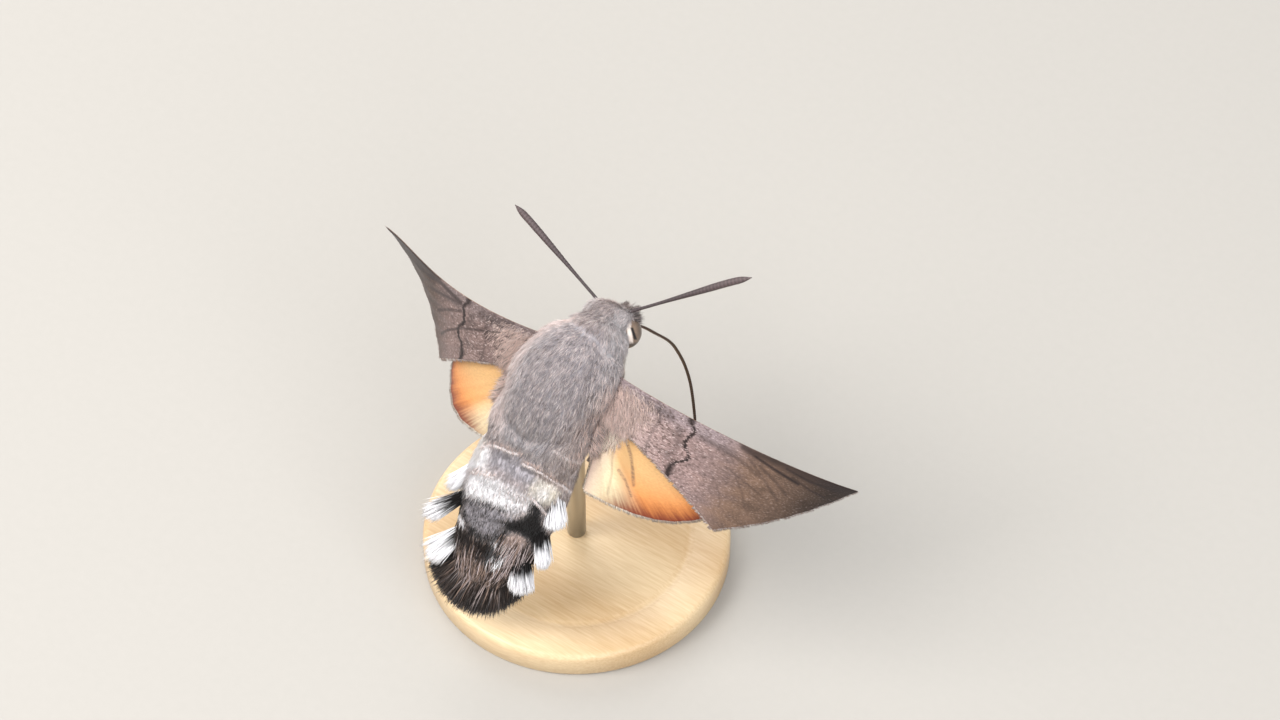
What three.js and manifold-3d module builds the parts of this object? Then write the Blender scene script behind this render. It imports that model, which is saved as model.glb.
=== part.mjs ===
// Hummingbird hawk moth hovering on spread wings, life size, on a plain display stand.
// Millimetres, +Z up. The moth heads along +Y with its right wing along +X.
// The origin is the centre of the stand's underside.

import * as THREE from "three";
import ManifoldModule from "manifold-3d";

const manifoldLibrary = await ManifoldModule();
manifoldLibrary.setup();
const { Manifold, Mesh: ManifoldMesh } = manifoldLibrary;

// Driving dimensions

const GAP = 0.32;
const CLEAR = 0.37;

const POSE = {
  thoraxHeight: 24.6,
  thoraxBack: 1.6,
  pitch: degrees(40.6),
};

const STAND = {
  baseRadius: 13.0,
  baseThickness: 2.6,
  edgeRound: 0.6,
  rodRadius: 0.8,
  rodSunk: 1.5,
  sides: 56,
  rodSides: 20,
};

const THORAX = {
  front: 5.7,
  rear: 5.8,
  halfWidth: 4.45,
  up: 4.3,
  down: 4.0,
  power: 2.5,
  frontDroop: 1.5,
  rings: 17,
  sides: 32,
};

const ABDOMEN = {
  start: new THREE.Vector3(0, -3.6, -0.2),
  droopStart: degrees(10),
  droopEnd: degrees(34),
  sideStart: degrees(-2.5),
  sideEnd: degrees(-7),
  bendLength: 18.5,
  roll: degrees(-8),
  segment: 2.7,
  segments: 5,
  step: 0.1,
  sides: 30,
  // Distance along the body, half width, height above and depth below its middle line.
  profile: [
    [-0.4, 3.5, 2.9, 2.9],
    [1.5, 4.2, 3.0, 3.1],
    [4.5, 4.5, 2.9, 3.0],
    [8.0, 4.35, 2.6, 2.7],
    [11.5, 3.7, 2.1, 2.2],
    [14.2, 2.9, 1.5, 1.6],
  ],
};

const TAIL = {
  length: 6.25,
  halfWidth: 3.55,
  rootHalfWidth: 3.0,
  round: 0.5,
  // How far its middle has swung to the right at its end.
  aside: -0.74,
  rootThickness: 3.0,
  thickness: 0.8,
  coreLength: 0.62,
  sides: 24,
  rings: 4,
  locks: { count: 11, halfWidth: 0.62, thickness: 0.3 },
  // Height over the fan's middle, and length as a share of the fan, of each layer.
  layers: [
    [0.16, 1.03],
    [-0.2, 0.98],
  ],
};

const HEAD = {
  centre: new THREE.Vector3(0.25, 5.45, -2.95),
  bend: degrees(-40),
  roll: degrees(-13),
  front: 2.0,
  rear: 3.1,
  halfWidth: 2.1,
  up: 2.65,
  down: 1.9,
  power: 2.2,
  rings: 12,
  sides: 26,
};

const EYE = {
  out: 1.72,
  forward: 0.35,
  up: -0.1,
  radius: 1.3,
  flat: 0.86,
  sides: 20,
  rings: 12,
};

const PALP = {
  root: new THREE.Vector3(0.66, 1.1, -0.9),
  tip: new THREE.Vector3(0.58, 3.25, -0.7),
  halfWidth: 0.42,
  halfHeight: 0.85,
  sides: 14,
  rings: 8,
};

const ANTENNA = {
  root: new THREE.Vector3(1.2, 1.25, 1.1),
  length: 12.2,
  stem: 0.25,
  club: 0.33,
  clubAt: 0.78,
  bow: 0.1,
  sunk: 0.8,
  sides: 10,
  rings: 18,
  aim: {
    left: new THREE.Vector3(-0.90, 0.34, 0.26),
    right: new THREE.Vector3(0.86, 0.36, 0.36),
  },
};

const PROBOSCIS = {
  radius: 0.27,
  tipRadius: 0.25,
  sides: 10,
  // Forward and upward positions along its run, in the head's own middle plane.
  run: [
    [0.9, -1.3],
    [3.3, -2.85],
    [5.15, -5.6],
    [6.45, -7.85],
    [7.05, -9.7],
    [7.42, -11.8],
    [7.45, -14.2],
    [7.0, -17.2],
    [6.3, -20.2],
    [5.6, -22.8],
  ],
  parts: [
    ["base", 0.0, 0.36],
    ["middle", 0.36, 0.68],
    ["tip", 0.68, 1.0],
  ],
};

const FOREWING = {
  length: 23.2,
  rootChord: 2.6,
  tornusAt: 0.555,
  tornusChord: 8.05,
  hindHollow: 0.5,
  outerBulge: 0.8,
  inset: 2.6,
  thickness: 0.5,
  vein: 0.12,
  spanSteps: 26,
  chordSteps: 12,
  pose: {
    left: {
      root: new THREE.Vector3(-3.77, 3.14, 1.37),
      droop: [4.67, -31.54, -45.02, -36.17],
      sweep: [-6.59, 0.41, 8.88, -0.84],
      twist: [10.74, 19.49, 40.11, 61.64],
    },
    right: {
      root: new THREE.Vector3(5.13, 3.06, 1.14),
      droop: [20.69, -13.85, -43.94, -69.68],
      sweep: [-0.17, -0.22, -1.47, -0.62],
      twist: [4.43, 16.92, 22.16, 22.38],
    },
  },
};

const HINDWING = {
  length: 12.4,
  lead: 2.7,
  leadEnd: 7.5,
  rootChord: 2.6,
  innerChord: 9.8,
  outerBulge: 1.5,
  inset: 2.2,
  drop: 1.06,
  lift: { left: 0.24, right: 0.03 },
  thickness: 0.5,
  vein: 0.1,
  spanSteps: 14,
  chordSteps: 12,
};

const SIDE_TUFT = {
  sides: 12,
  rings: 5,
  // Name, distance along the abdomen, length, half width, angle out from the body's line.
  rows: [
    ["front", 4.3, 3.25, 1.15, degrees(27)],
    ["middle", 7.9, 3.7, 1.2, degrees(33)],
    ["rear", 11.2, 3.6, 1.25, degrees(23)],
  ],
  splay: { left: degrees(6), right: degrees(-7) },
  stretch: { left: 1.24, right: 0.72 },
  lift: 0.35,
  sunk: 1.2,
  thickness: 0.42,
  coreLength: 0.66,
  locks: { count: 5, fan: degrees(30), halfWidth: 0.42, thickness: 0.3 },
};

const LEG = {
  thick: 0.38,
  thin: 0.26,
  sides: 8,
  rings: 14,
  // Name, then the points the right leg runs through, in the body's own frame.
  pairs: [
    ["fore", [[1.5, 2.4, -3.0], [1.9, 2.2, -4.9], [2.2, 0.4, -5.1], [2.0, -1.6, -4.9]]],
    ["mid", [[2.3, 0.6, -2.6], [3.2, 0.5, -4.4], [3.5, -2.0, -4.7], [3.0, -5.2, -4.7]]],
    ["hind", [[1.6, -2.6, -3.0], [1.7, -3.6, -5.0], [1.8, -6.6, -5.6], [1.6, -10.4, -6.9]]],
  ],
};

const COLOUR = {
  wood: 0xcdb694,
  rod: 0xb8b4ac,
  thoraxFur: 0x8f867c,
  headFur: 0x8e857d,
  abdomenFur: 0x9a9189,
  abdomenDark: 0x5d5651,
  tail: 0x3c3531,
  tuft: 0xe8e4de,
  eye: 0xb7ad9c,
  palp: 0xcfc6ba,
  antenna: 0x55484a,
  proboscis: 0x3a2a20,
  forewing: 0x77665e,
  hindwing: 0xee9a4c,
  leg: 0x9c8f84,
};

// Small helpers

function degrees(value) {
  return (value * Math.PI) / 180;
}

/** Value of a table at a place along it, eased smoothly between its rows. */
function tableAt(rows, place, column) {
  const last = rows.length - 1;
  if (place <= rows[0][0]) return rows[0][column];
  if (place >= rows[last][0]) return rows[last][column];
  let i = 0;
  while (rows[i + 1][0] < place) i += 1;
  const slope = (k) => {
    const a = rows[Math.max(0, k - 1)];
    const b = rows[Math.min(last, k + 1)];
    return (b[column] - a[column]) / (b[0] - a[0]);
  };
  const span = rows[i + 1][0] - rows[i][0];
  const t = (place - rows[i][0]) / span;
  const h1 = 2 * t ** 3 - 3 * t ** 2 + 1;
  const h2 = t ** 3 - 2 * t ** 2 + t;
  const h3 = t ** 3 - t ** 2;
  return (
    h1 * rows[i][column] +
    h2 * span * slope(i) +
    (1 - h1) * rows[i + 1][column] +
    h3 * span * slope(i + 1)
  );
}

/** Smooth change through four steering values from root to tip. */
function steer(values, t) {
  const s = 1 - t;
  return (
    values[0] * s ** 3 +
    3 * values[1] * s * s * t +
    3 * values[2] * s * t * t +
    values[3] * t ** 3
  );
}

/** Volume inside a closed indexed surface, negative where it faces inwards. */
function signedVolume(points, index) {
  let sum = 0;
  const cross = new THREE.Vector3();
  for (let i = 0; i < index.length; i += 3) {
    cross.crossVectors(points[index[i + 1]], points[index[i + 2]]);
    sum += points[index[i]].dot(cross) / 6;
  }
  return sum;
}

/** Closed surface from points and triangles, turned to face outwards. */
function closedSurface(points, index) {
  if (signedVolume(points, index) < 0) {
    for (let i = 0; i < index.length; i += 3) {
      [index[i + 1], index[i + 2]] = [index[i + 2], index[i + 1]];
    }
  }
  const geometry = new THREE.BufferGeometry().setFromPoints(points);
  geometry.setIndex(index);
  return geometry;
}

/** Skin over a row of rings, closed by one point at each end. */
function ringSkin(rings, first, last) {
  const sides = rings[0].length;
  const points = [first, ...rings.flat(), last];
  const index = [];
  const at = (i, j) => 1 + i * sides + (j % sides);
  for (let j = 0; j < sides; j += 1) {
    index.push(0, at(0, j + 1), at(0, j));
    index.push(points.length - 1, at(rings.length - 1, j), at(rings.length - 1, j + 1));
    for (let i = 0; i + 1 < rings.length; i += 1) {
      index.push(at(i, j), at(i, j + 1), at(i + 1, j + 1));
      index.push(at(i, j), at(i + 1, j + 1), at(i + 1, j));
    }
  }
  return closedSurface(points, index);
}

/** One oval ring across a middle line that leans down towards the tail. */
function ovalRing({ centre, lean, roll = 0, halfWidth, up, down, sides, power = 2 }) {
  const ring = [];
  for (let j = 0; j < sides; j += 1) {
    const a = (j / sides) * 2 * Math.PI;
    const c = Math.cos(a);
    const s = Math.sin(a);
    const level = Math.sign(c) * Math.abs(c) ** (2 / power) * halfWidth;
    const upright = Math.sign(s) * Math.abs(s) ** (2 / power) * (s > 0 ? up : down);
    const x = Math.cos(roll) * level - Math.sin(roll) * upright;
    const z = Math.sin(roll) * level + Math.cos(roll) * upright;
    ring.push(
      new THREE.Vector3(x, -Math.sin(lean) * z, Math.cos(lean) * z).add(centre),
    );
  }
  return ring;
}

/** Rounded block along +Y whose two ends close to a point, such as a head or a thorax. */
function ovoid(size, grow = 0, centreAt = () => 0) {
  const rings = [];
  const front = size.front + grow;
  const rear = size.rear + grow;
  for (let i = 1; i < size.rings; i += 1) {
    const turn = (i / size.rings) * Math.PI;
    const t = Math.cos(turn);
    const y = t > 0 ? t * front : t * rear;
    const full = (1 - Math.abs(t) ** size.power) ** (1 / size.power);
    rings.push(
      ovalRing({
        centre: new THREE.Vector3(0, y, centreAt(y)),
        lean: 0,
        halfWidth: (size.halfWidth + grow) * full,
        up: (size.up + grow) * full,
        down: (size.down + grow) * full,
        sides: size.sides,
        power: 2.1,
      }),
    );
  }
  const first = new THREE.Vector3(0, front, centreAt(front));
  const last = new THREE.Vector3(0, -rear, centreAt(-rear));
  return ringSkin(rings, first, last);
}

/** Round or oval tube along a curve, with its half width and half height as functions. */
function tubeAlong(curve, { from = 0, to = 1, rings, sides, wide, high, side }) {
  const skins = [];
  const across = new THREE.Vector3();
  const over = new THREE.Vector3();
  for (let i = 0; i <= rings; i += 1) {
    const u = from + ((to - from) * i) / rings;
    const centre = curve.getPointAt(u);
    const along = curve.getTangentAt(u);
    across.crossVectors(along, side).normalize();
    over.crossVectors(across, along).normalize();
    const ring = [];
    for (let j = 0; j < sides; j += 1) {
      const a = (j / sides) * 2 * Math.PI;
      ring.push(
        centre
          .clone()
          .addScaledVector(across, Math.cos(a) * wide(u))
          .addScaledVector(over, Math.sin(a) * high(u)),
      );
    }
    skins.push(ring);
  }
  return ringSkin(skins, curve.getPointAt(from), curve.getPointAt(to));
}

function solidOf(geometry) {
  const mesh = new ManifoldMesh({
    numProp: 3,
    vertProperties: new Float32Array(geometry.attributes.position.array),
    triVerts: new Uint32Array(geometry.index.array),
  });
  return new Manifold(mesh);
}

/** Surface of the largest piece of a solid. */
function geometryOf(solid) {
  const pieces = solid.decompose();
  pieces.sort((a, b) => b.volume() - a.volume());
  const mesh = pieces[0].getMesh();
  const geometry = new THREE.BufferGeometry();
  const position = new Float32Array(mesh.numVert * 3);
  for (let i = 0; i < mesh.numVert; i += 1) {
    for (let k = 0; k < 3; k += 1) {
      position[i * 3 + k] = mesh.vertProperties[i * mesh.numProp + k];
    }
  }
  geometry.setAttribute("position", new THREE.BufferAttribute(position, 3));
  geometry.setIndex([...mesh.triVerts]);
  return geometry;
}

/** Core and locks grown together into one surface. */
function fused(core, locks) {
  return geometryOf(Manifold.union([solidOf(core), ...locks.map(solidOf)]));
}

/** One flat tapered lock of hair along a few points, widest before its middle. */
function lockShape(points, { halfWidth, thickness }, over) {
  const curve = new THREE.CatmullRomCurve3(points);
  const shape = (u) => Math.sin(Math.PI * (0.24 + 0.735 * u)) ** 0.8;
  return tubeAlong(curve, {
    rings: 4,
    sides: 4,
    side: over,
    wide: (u) => halfWidth * shape(u),
    high: (u) => thickness * Math.max(0.3, shape(u)),
  });
}

/** A solid less the space that its grown neighbours take. */
function cutBy(geometry, ...neighbours) {
  let solid = solidOf(geometry);
  for (const other of neighbours) solid = solid.subtract(solidOf(other));
  return geometryOf(solid);
}

function material(colour, roughness = 0.85, metalness = 0) {
  return new THREE.MeshStandardMaterial({ color: colour, roughness, metalness });
}

function named(name, geometry, colour, roughness, metalness) {
  const mesh = new THREE.Mesh(geometry, material(colour, roughness, metalness));
  mesh.name = name;
  return mesh;
}

// Thorax

function thoraxMiddle(y) {
  const t = Math.max(0, y / THORAX.front);
  return -THORAX.frontDroop * t * t;
}

function thoraxShape(grow = 0) {
  return ovoid(THORAX, grow, thoraxMiddle);
}

// Abdomen, tail fan and side tufts

const TRUNK_LENGTH = ABDOMEN.segment * ABDOMEN.segments;

/** Middle line of the abdomen as position and downward lean at a distance along it. */
function abdomenAt(distance) {
  const steps = 24;
  const total = ABDOMEN.bendLength;
  const centre = ABDOMEN.start.clone();
  let lean = ABDOMEN.droopStart;
  for (let i = 0; i < steps; i += 1) {
    const s = (distance * (i + 0.5)) / steps;
    lean = THREE.MathUtils.lerp(ABDOMEN.droopStart, ABDOMEN.droopEnd, s / total);
    const step = distance / steps;
    centre.x += Math.sin(THREE.MathUtils.lerp(ABDOMEN.sideStart, ABDOMEN.sideEnd, s / total)) * step;
    centre.y -= Math.cos(lean) * step;
    centre.z -= Math.sin(lean) * step;
  }
  const roll = ABDOMEN.roll * THREE.MathUtils.smoothstep(distance, 0, 8);
  return { centre, lean, roll };
}

function abdomenRing(distance, raise) {
  const { centre, lean, roll } = abdomenAt(distance);
  return ovalRing({
    centre,
    lean,
    roll,
    halfWidth: tableAt(ABDOMEN.profile, distance, 1) + raise,
    up: tableAt(ABDOMEN.profile, distance, 2) + raise,
    down: tableAt(ABDOMEN.profile, distance, 3) + raise,
    sides: ABDOMEN.sides,
    power: 2.15,
  });
}

/** A run of body rings, each with its rear margin standing a little over the next. */
function abdomenShape(fromSegment, toSegment, grow = 0) {
  const start = fromSegment * ABDOMEN.segment + (fromSegment > 0 ? GAP / 2 : 0) - grow;
  const end = toSegment * ABDOMEN.segment - GAP / 2 + grow;
  const rings = [abdomenRing(start, grow)];
  for (let k = fromSegment; k < toSegment; k += 1) {
    const a = k * ABDOMEN.segment;
    rings.push(abdomenRing(a + 0.45 * ABDOMEN.segment, grow));
    if (k + 1 < toSegment) {
      rings.push(abdomenRing(a + 0.95 * ABDOMEN.segment, ABDOMEN.step + grow));
      rings.push(abdomenRing(a + 1.02 * ABDOMEN.segment, grow - 0.02));
    }
  }
  rings.push(abdomenRing(end, ABDOMEN.step + grow));
  return ringSkin(rings, abdomenAt(start).centre, abdomenAt(end).centre);
}

/** Core of the tail fan, flattening and spreading towards the rear. */
function tailCore(grow, reach) {
  const root = TRUNK_LENGTH + GAP / 2;
  const rings = [];
  for (let i = 0; i <= TAIL.rings; i += 1) {
    const t = (reach * i) / TAIL.rings;
    const { centre, lean, roll } = abdomenAt(root + TAIL.length * t);
    const wide = tailHalfWidth(t);
    const high = THREE.MathUtils.lerp(TAIL.rootThickness, TAIL.thickness, t ** 0.7) / 2;
    const size = {
      halfWidth: wide + grow,
      up: high + grow,
      down: high + grow,
      sides: TAIL.sides,
    };
    const ring = ovalRing({ centre, lean, roll, ...size });
    for (const point of ring) {
      const shorter = TAIL.length * t * tailShortening((point.x - centre.x) / wide);
      point.x += TAIL.aside * t;
      point.y += Math.cos(lean) * shorter;
      point.z += Math.sin(lean) * shorter;
    }
    rings.push(ring);
  }
  const first = abdomenAt(root).centre;
  const last = abdomenAt(root + TAIL.length * reach).centre;
  last.x += TAIL.aside * reach;
  return ringSkin(rings, first, last);
}

function tailHalfWidth(t) {
  return TAIL.rootHalfWidth + (TAIL.halfWidth - TAIL.rootHalfWidth) * t ** 0.8;
}

/** Share of its length that the fan lacks at a place across it, from -1 to 1. */
function tailShortening(across) {
  return TAIL.round * across ** 2;
}

/** Point inside the fan, along it from 0 to 1, across it from -1 to 1, and above it. */
function tailPoint(along, across, above) {
  const root = TRUNK_LENGTH + GAP / 2;
  const reach = along * (1 - tailShortening(across));
  const { centre, lean, roll } = abdomenAt(root + TAIL.length * reach);
  const out = across * tailHalfWidth(along) + TAIL.aside * along;
  return centre.add(
    new THREE.Vector3(
      Math.cos(roll) * out,
      -Math.sin(lean) * (above + Math.sin(roll) * out),
      Math.cos(lean) * (above + Math.sin(roll) * out),
    ),
  );
}

/** Fan of overlapping flat locks at the end of the abdomen, in layers over a core. */
function tailShape() {
  const over = new THREE.Vector3(0, -0.5, 0.85);
  const locks = [];
  TAIL.layers.forEach(([above, reach], layer) => {
    const inLayer = TAIL.locks.count - layer;
    for (let k = 0; k < inLayer; k += 1) {
      const across = ((k + 0.5) / inLayer) * 2 - 1;
      const length = reach - 0.07 * ((k + layer) % 2);
      const points = [
        tailPoint(0.16, across * 0.72, above * 3),
        tailPoint(0.5, across * 0.84, above * 2),
        tailPoint(length, across * 0.93, above),
      ];
      locks.push(lockShape(points, TAIL.locks, over));
    }
  });
  return fused(tailCore(0, TAIL.coreLength), locks);
}

/** One flat side tuft: a core with a fan of locks, pointing back and out from the flank. */
function tuftShape(sign, [, distance, length, halfWidth, out]) {
  const { centre, lean } = abdomenAt(distance);
  const flank = tableAt(ABDOMEN.profile, distance, 1);
  const outward = new THREE.Vector3(sign, 0, 0);
  const back = new THREE.Vector3(0, -Math.cos(lean), -Math.sin(lean));
  const over = new THREE.Vector3(0, -Math.sin(lean), Math.cos(lean));
  const side = sign > 0 ? "right" : "left";
  const angle = out + SIDE_TUFT.splay[side];
  const root = centre.clone().addScaledVector(outward, flank - SIDE_TUFT.sunk);
  root.z += SIDE_TUFT.lift;
  const aimAt = (turn) =>
    new THREE.Vector3()
      .addScaledVector(back, Math.cos(turn))
      .addScaledVector(outward, Math.sin(turn))
      .addScaledVector(over, 0.1)
      .normalize();
  const reach = length * SIDE_TUFT.stretch[side] + SIDE_TUFT.sunk;
  const end = root.clone().addScaledVector(aimAt(angle), reach * SIDE_TUFT.coreLength);
  const shape = (u) => Math.sin(Math.PI * Math.min(0.9, 0.25 + 0.65 * u)) ** 0.8;
  const core = tubeAlong(new THREE.LineCurve3(root, end), {
    rings: SIDE_TUFT.rings,
    sides: SIDE_TUFT.sides,
    side: over,
    wide: (u) => halfWidth * 0.85 * shape(u),
    high: (u) => Math.max(0.25, SIDE_TUFT.thickness * shape(u)),
  });
  const { count, fan } = SIDE_TUFT.locks;
  const locks = [];
  for (let k = 0; k < count; k += 1) {
    const place = (k / (count - 1)) * 2 - 1;
    const turn = angle + (place * fan) / 2;
    const from = root
      .clone()
      .addScaledVector(aimAt(angle), reach * 0.3)
      .addScaledVector(outward, place * halfWidth * 0.45)
      .addScaledVector(over, (k % 2 ? 1 : -1) * 0.1);
    const far = reach * (0.7 - 0.09 * place * place - 0.04 * (k % 2));
    const middle = from.clone().addScaledVector(aimAt(turn), far * 0.5);
    const tip = from.clone().addScaledVector(aimAt(turn - place * 0.12), far);
    locks.push(lockShape([from, middle, tip], SIDE_TUFT.locks, over));
  }
  return fused(core, locks);
}

// Head, eyes, palps, antennae and proboscis, in the head's own frame

function headShape(grow = 0) {
  return ovoid(HEAD, grow);
}

function eyeShape(sign) {
  const geometry = new THREE.SphereGeometry(EYE.radius, EYE.sides, EYE.rings);
  const eye = closedSphere(geometry);
  eye.scale(EYE.flat, 1, 1);
  eye.translate(sign * EYE.out, EYE.forward, EYE.up);
  return eye;
}

/** The same ball with its seam and pole points joined, so that it is one closed surface. */
function closedSphere(geometry) {
  const { widthSegments: sides, heightSegments: count, radius } = geometry.parameters;
  const rings = [];
  for (let i = 1; i < count; i += 1) {
    const polar = (i / count) * Math.PI;
    const ring = [];
    for (let j = 0; j < sides; j += 1) {
      const turn = (j / sides) * 2 * Math.PI;
      ring.push(
        new THREE.Vector3(
          radius * Math.sin(polar) * Math.cos(turn),
          radius * Math.sin(polar) * Math.sin(turn),
          radius * Math.cos(polar),
        ),
      );
    }
    rings.push(ring);
  }
  const top = new THREE.Vector3(0, 0, radius);
  return ringSkin(rings, top, top.clone().negate());
}

function palpShape(sign) {
  const root = PALP.root.clone();
  const tip = PALP.tip.clone();
  root.x *= sign;
  tip.x *= sign;
  const middle = root.clone().lerp(tip, 0.5);
  middle.z -= 0.2;
  const curve = new THREE.QuadraticBezierCurve3(root, middle, tip);
  const shape = (u) => Math.sqrt(Math.max(0.09, 1 - ((u - 0.35) / 0.68) ** 2));
  return tubeAlong(curve, {
    rings: PALP.rings,
    sides: PALP.sides,
    side: new THREE.Vector3(0, 0, 1),
    wide: (u) => PALP.halfWidth * shape(u),
    high: (u) => PALP.halfHeight * shape(u),
  });
}

function antennaShape(sign, aim) {
  const root = ANTENNA.root.clone();
  root.x *= sign;
  const along = aim.clone().normalize();
  const tip = root.clone().addScaledVector(along, ANTENNA.length);
  const bow = root.clone().lerp(tip, 0.55);
  bow.z += ANTENNA.bow;
  const curve = new THREE.CatmullRomCurve3([
    root.clone().addScaledVector(along, -ANTENNA.sunk),
    root.clone().lerp(bow, 0.5),
    bow,
    bow.clone().lerp(tip, 0.6).add(new THREE.Vector3(0, 0, ANTENNA.bow)),
    tip,
  ]);
  const thick = (u) => {
    const rise = THREE.MathUtils.smoothstep(u, 0.25, ANTENNA.clubAt);
    const fall = THREE.MathUtils.smoothstep(u, ANTENNA.clubAt, 1.0);
    return THREE.MathUtils.lerp(ANTENNA.stem, ANTENNA.club, rise) * (1 - 0.75 * fall);
  };
  return tubeAlong(curve, {
    rings: ANTENNA.rings,
    sides: ANTENNA.sides,
    side: new THREE.Vector3(0, 0, 1),
    wide: thick,
    high: thick,
  });
}

const proboscisCurve = new THREE.CatmullRomCurve3(
  PROBOSCIS.run.map(([forward, up]) => new THREE.Vector3(0, forward, up)),
);

function proboscisShape(from, to, grow = 0) {
  const half = GAP / 2 / proboscisCurve.getLength();
  const { radius, tipRadius } = PROBOSCIS;
  const thick = (u) => THREE.MathUtils.lerp(radius, tipRadius, u) + grow;
  return tubeAlong(proboscisCurve, {
    from: from > 0 ? from + half : from,
    to: to < 1 ? to - half : to,
    rings: 9,
    sides: PROBOSCIS.sides,
    side: new THREE.Vector3(1, 0, 0),
    wide: thick,
    high: thick,
  });
}

// Wings

/** Carries a flat wing point, span and chord, onto the drooping, twisted wing. */
function wingPoint(pose, sign, span, chord, drop) {
  const { length } = FOREWING;
  const steps = 40;
  const point = pose.root.clone();
  const aim = new THREE.Vector3();
  const reach = span / steps;
  for (let i = 0; i < steps; i += 1) {
    wingAim(pose, sign, (reach * (i + 0.5)) / length, aim);
    point.addScaledVector(aim, reach);
  }
  const t = THREE.MathUtils.clamp(span / length, 0, 1);
  wingAim(pose, sign, t, aim);
  const back = new THREE.Vector3(0, -1, 0);
  back.addScaledVector(aim, -back.dot(aim)).normalize();
  const over = new THREE.Vector3().crossVectors(aim, back).multiplyScalar(-sign);
  const twist = degrees(steer(pose.twist, t));
  point.addScaledVector(back, Math.cos(twist) * chord);
  point.addScaledVector(over, -Math.sin(twist) * chord);
  const normal = over.multiplyScalar(Math.cos(twist)).addScaledVector(back, Math.sin(twist));
  point.addScaledVector(normal, -drop);
  return { point, normal };
}

function wingAim(pose, sign, t, aim) {
  const place = THREE.MathUtils.clamp(t, 0, 1);
  const droop = degrees(steer(pose.droop, place));
  const sweep = degrees(steer(pose.sweep, place));
  aim.set(
    sign * Math.cos(droop) * Math.cos(sweep),
    Math.sin(sweep),
    Math.sin(droop) * Math.cos(sweep),
  );
}

/** Closed sheet with its two faces cut alike, and veins raised in both of them. */
function wingSheet(size, sign, flatAt) {
  const { spanSteps, chordSteps, thickness, vein } = size;
  const side = sign > 0 ? "right" : "left";
  const pose = FOREWING.pose[side];
  const upper = [];
  const lower = [];
  for (let i = 0; i <= spanSteps; i += 1) {
    for (let j = 0; j <= chordSteps; j += 1) {
      const u = i / spanSteps;
      const v = j / chordSteps;
      const { span, chord } = flatAt(u, v);
      const drop = size.drop ? hindwingDrop(side, span, chord) : 0;
      const { point, normal } = wingPoint(pose, sign, span, chord, drop);
      const rib = j % 2 === 0 && j < chordSteps ? vein : 0;
      const half = thickness / 2 + rib * THREE.MathUtils.smoothstep(1 - u, 0.02, 0.2);
      upper.push(point.clone().addScaledVector(normal, half));
      lower.push(point.clone().addScaledVector(normal, -half));
    }
  }
  const row = chordSteps + 1;
  const offset = upper.length;
  const index = [];
  for (let i = 0; i < spanSteps; i += 1) {
    for (let j = 0; j < chordSteps; j += 1) {
      const a = i * row + j;
      const [b, c, d] = [a + 1, a + row + 1, a + row];
      index.push(a, b, c, a, c, d);
      index.push(offset + a, offset + c, offset + b, offset + a, offset + d, offset + c);
    }
  }
  const rim = [];
  for (let j = 0; j < chordSteps; j += 1) rim.push(j);
  for (let i = 0; i < spanSteps; i += 1) rim.push(i * row + chordSteps);
  for (let j = chordSteps; j > 0; j -= 1) rim.push(spanSteps * row + j);
  for (let i = spanSteps; i > 0; i -= 1) rim.push(i * row);
  rim.forEach((a, k) => {
    const b = rim[(k + 1) % rim.length];
    index.push(a, offset + b, b, a, offset + a, offset + b);
  });
  return closedSurface([...upper, ...lower], index);
}

/** Forewing outline: straight front edge, pointed tip, slanting outer and inner edges. */
function forewingFlat(u, v) {
  const { length, rootChord, tornusAt, tornusChord, hindHollow, outerBulge, inset } = FOREWING;
  const bulge = outerBulge * Math.sin(Math.PI * v);
  const outerSpan = length * THREE.MathUtils.lerp(1, tornusAt, v) + bulge * 0.7;
  const outerChord = tornusChord * v + bulge * 0.7 + 0.15;
  const eased = u ** 0.92;
  const hollow = hindHollow * Math.sin(Math.PI * u) * v * v;
  return {
    span: THREE.MathUtils.lerp(-inset, outerSpan, eased),
    chord: THREE.MathUtils.lerp(rootChord * v, outerChord, eased) - hollow,
  };
}

/** Hindwing outline: short and rounded, from under the forewing back beside the abdomen. */
function hindwingFlat(u, v) {
  const { length, lead, leadEnd, rootChord, innerChord, outerBulge, inset } = HINDWING;
  const bulge = outerBulge * Math.sin(Math.PI * v);
  const outerSpan = THREE.MathUtils.lerp(length, -0.4, v) + bulge * 0.7;
  const outerChord = THREE.MathUtils.lerp(leadEnd, innerChord, v ** 0.6) + bulge * 0.45;
  const rootAt = lead + rootChord * v;
  return {
    span: THREE.MathUtils.lerp(-inset, outerSpan, u),
    chord: THREE.MathUtils.lerp(rootAt, outerChord, u),
  };
}

/** How far the hindwing lies under the forewing's own surface, less where it is uncovered. */
function hindwingDrop(side, span, chord) {
  const { rootChord, tornusAt, tornusChord, length } = FOREWING;
  const along = THREE.MathUtils.clamp(span / (tornusAt * length), 0, 1);
  const covered = THREE.MathUtils.lerp(rootChord, tornusChord, along);
  return HINDWING.drop - HINDWING.lift[side] * Math.max(0, chord - covered - 0.5);
}

// Legs, folded under the body as in flight

function legShape(sign, points) {
  const curve = new THREE.CatmullRomCurve3(
    points.map(([x, y, z]) => new THREE.Vector3(sign * x, y, z)),
    false,
    "centripetal",
  );
  const thick = (u) => THREE.MathUtils.lerp(LEG.thick, LEG.thin, u);
  return tubeAlong(curve, {
    rings: LEG.rings,
    sides: LEG.sides,
    side: new THREE.Vector3(1, 0, 0),
    wide: thick,
    high: thick,
  });
}

// Stand

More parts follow.
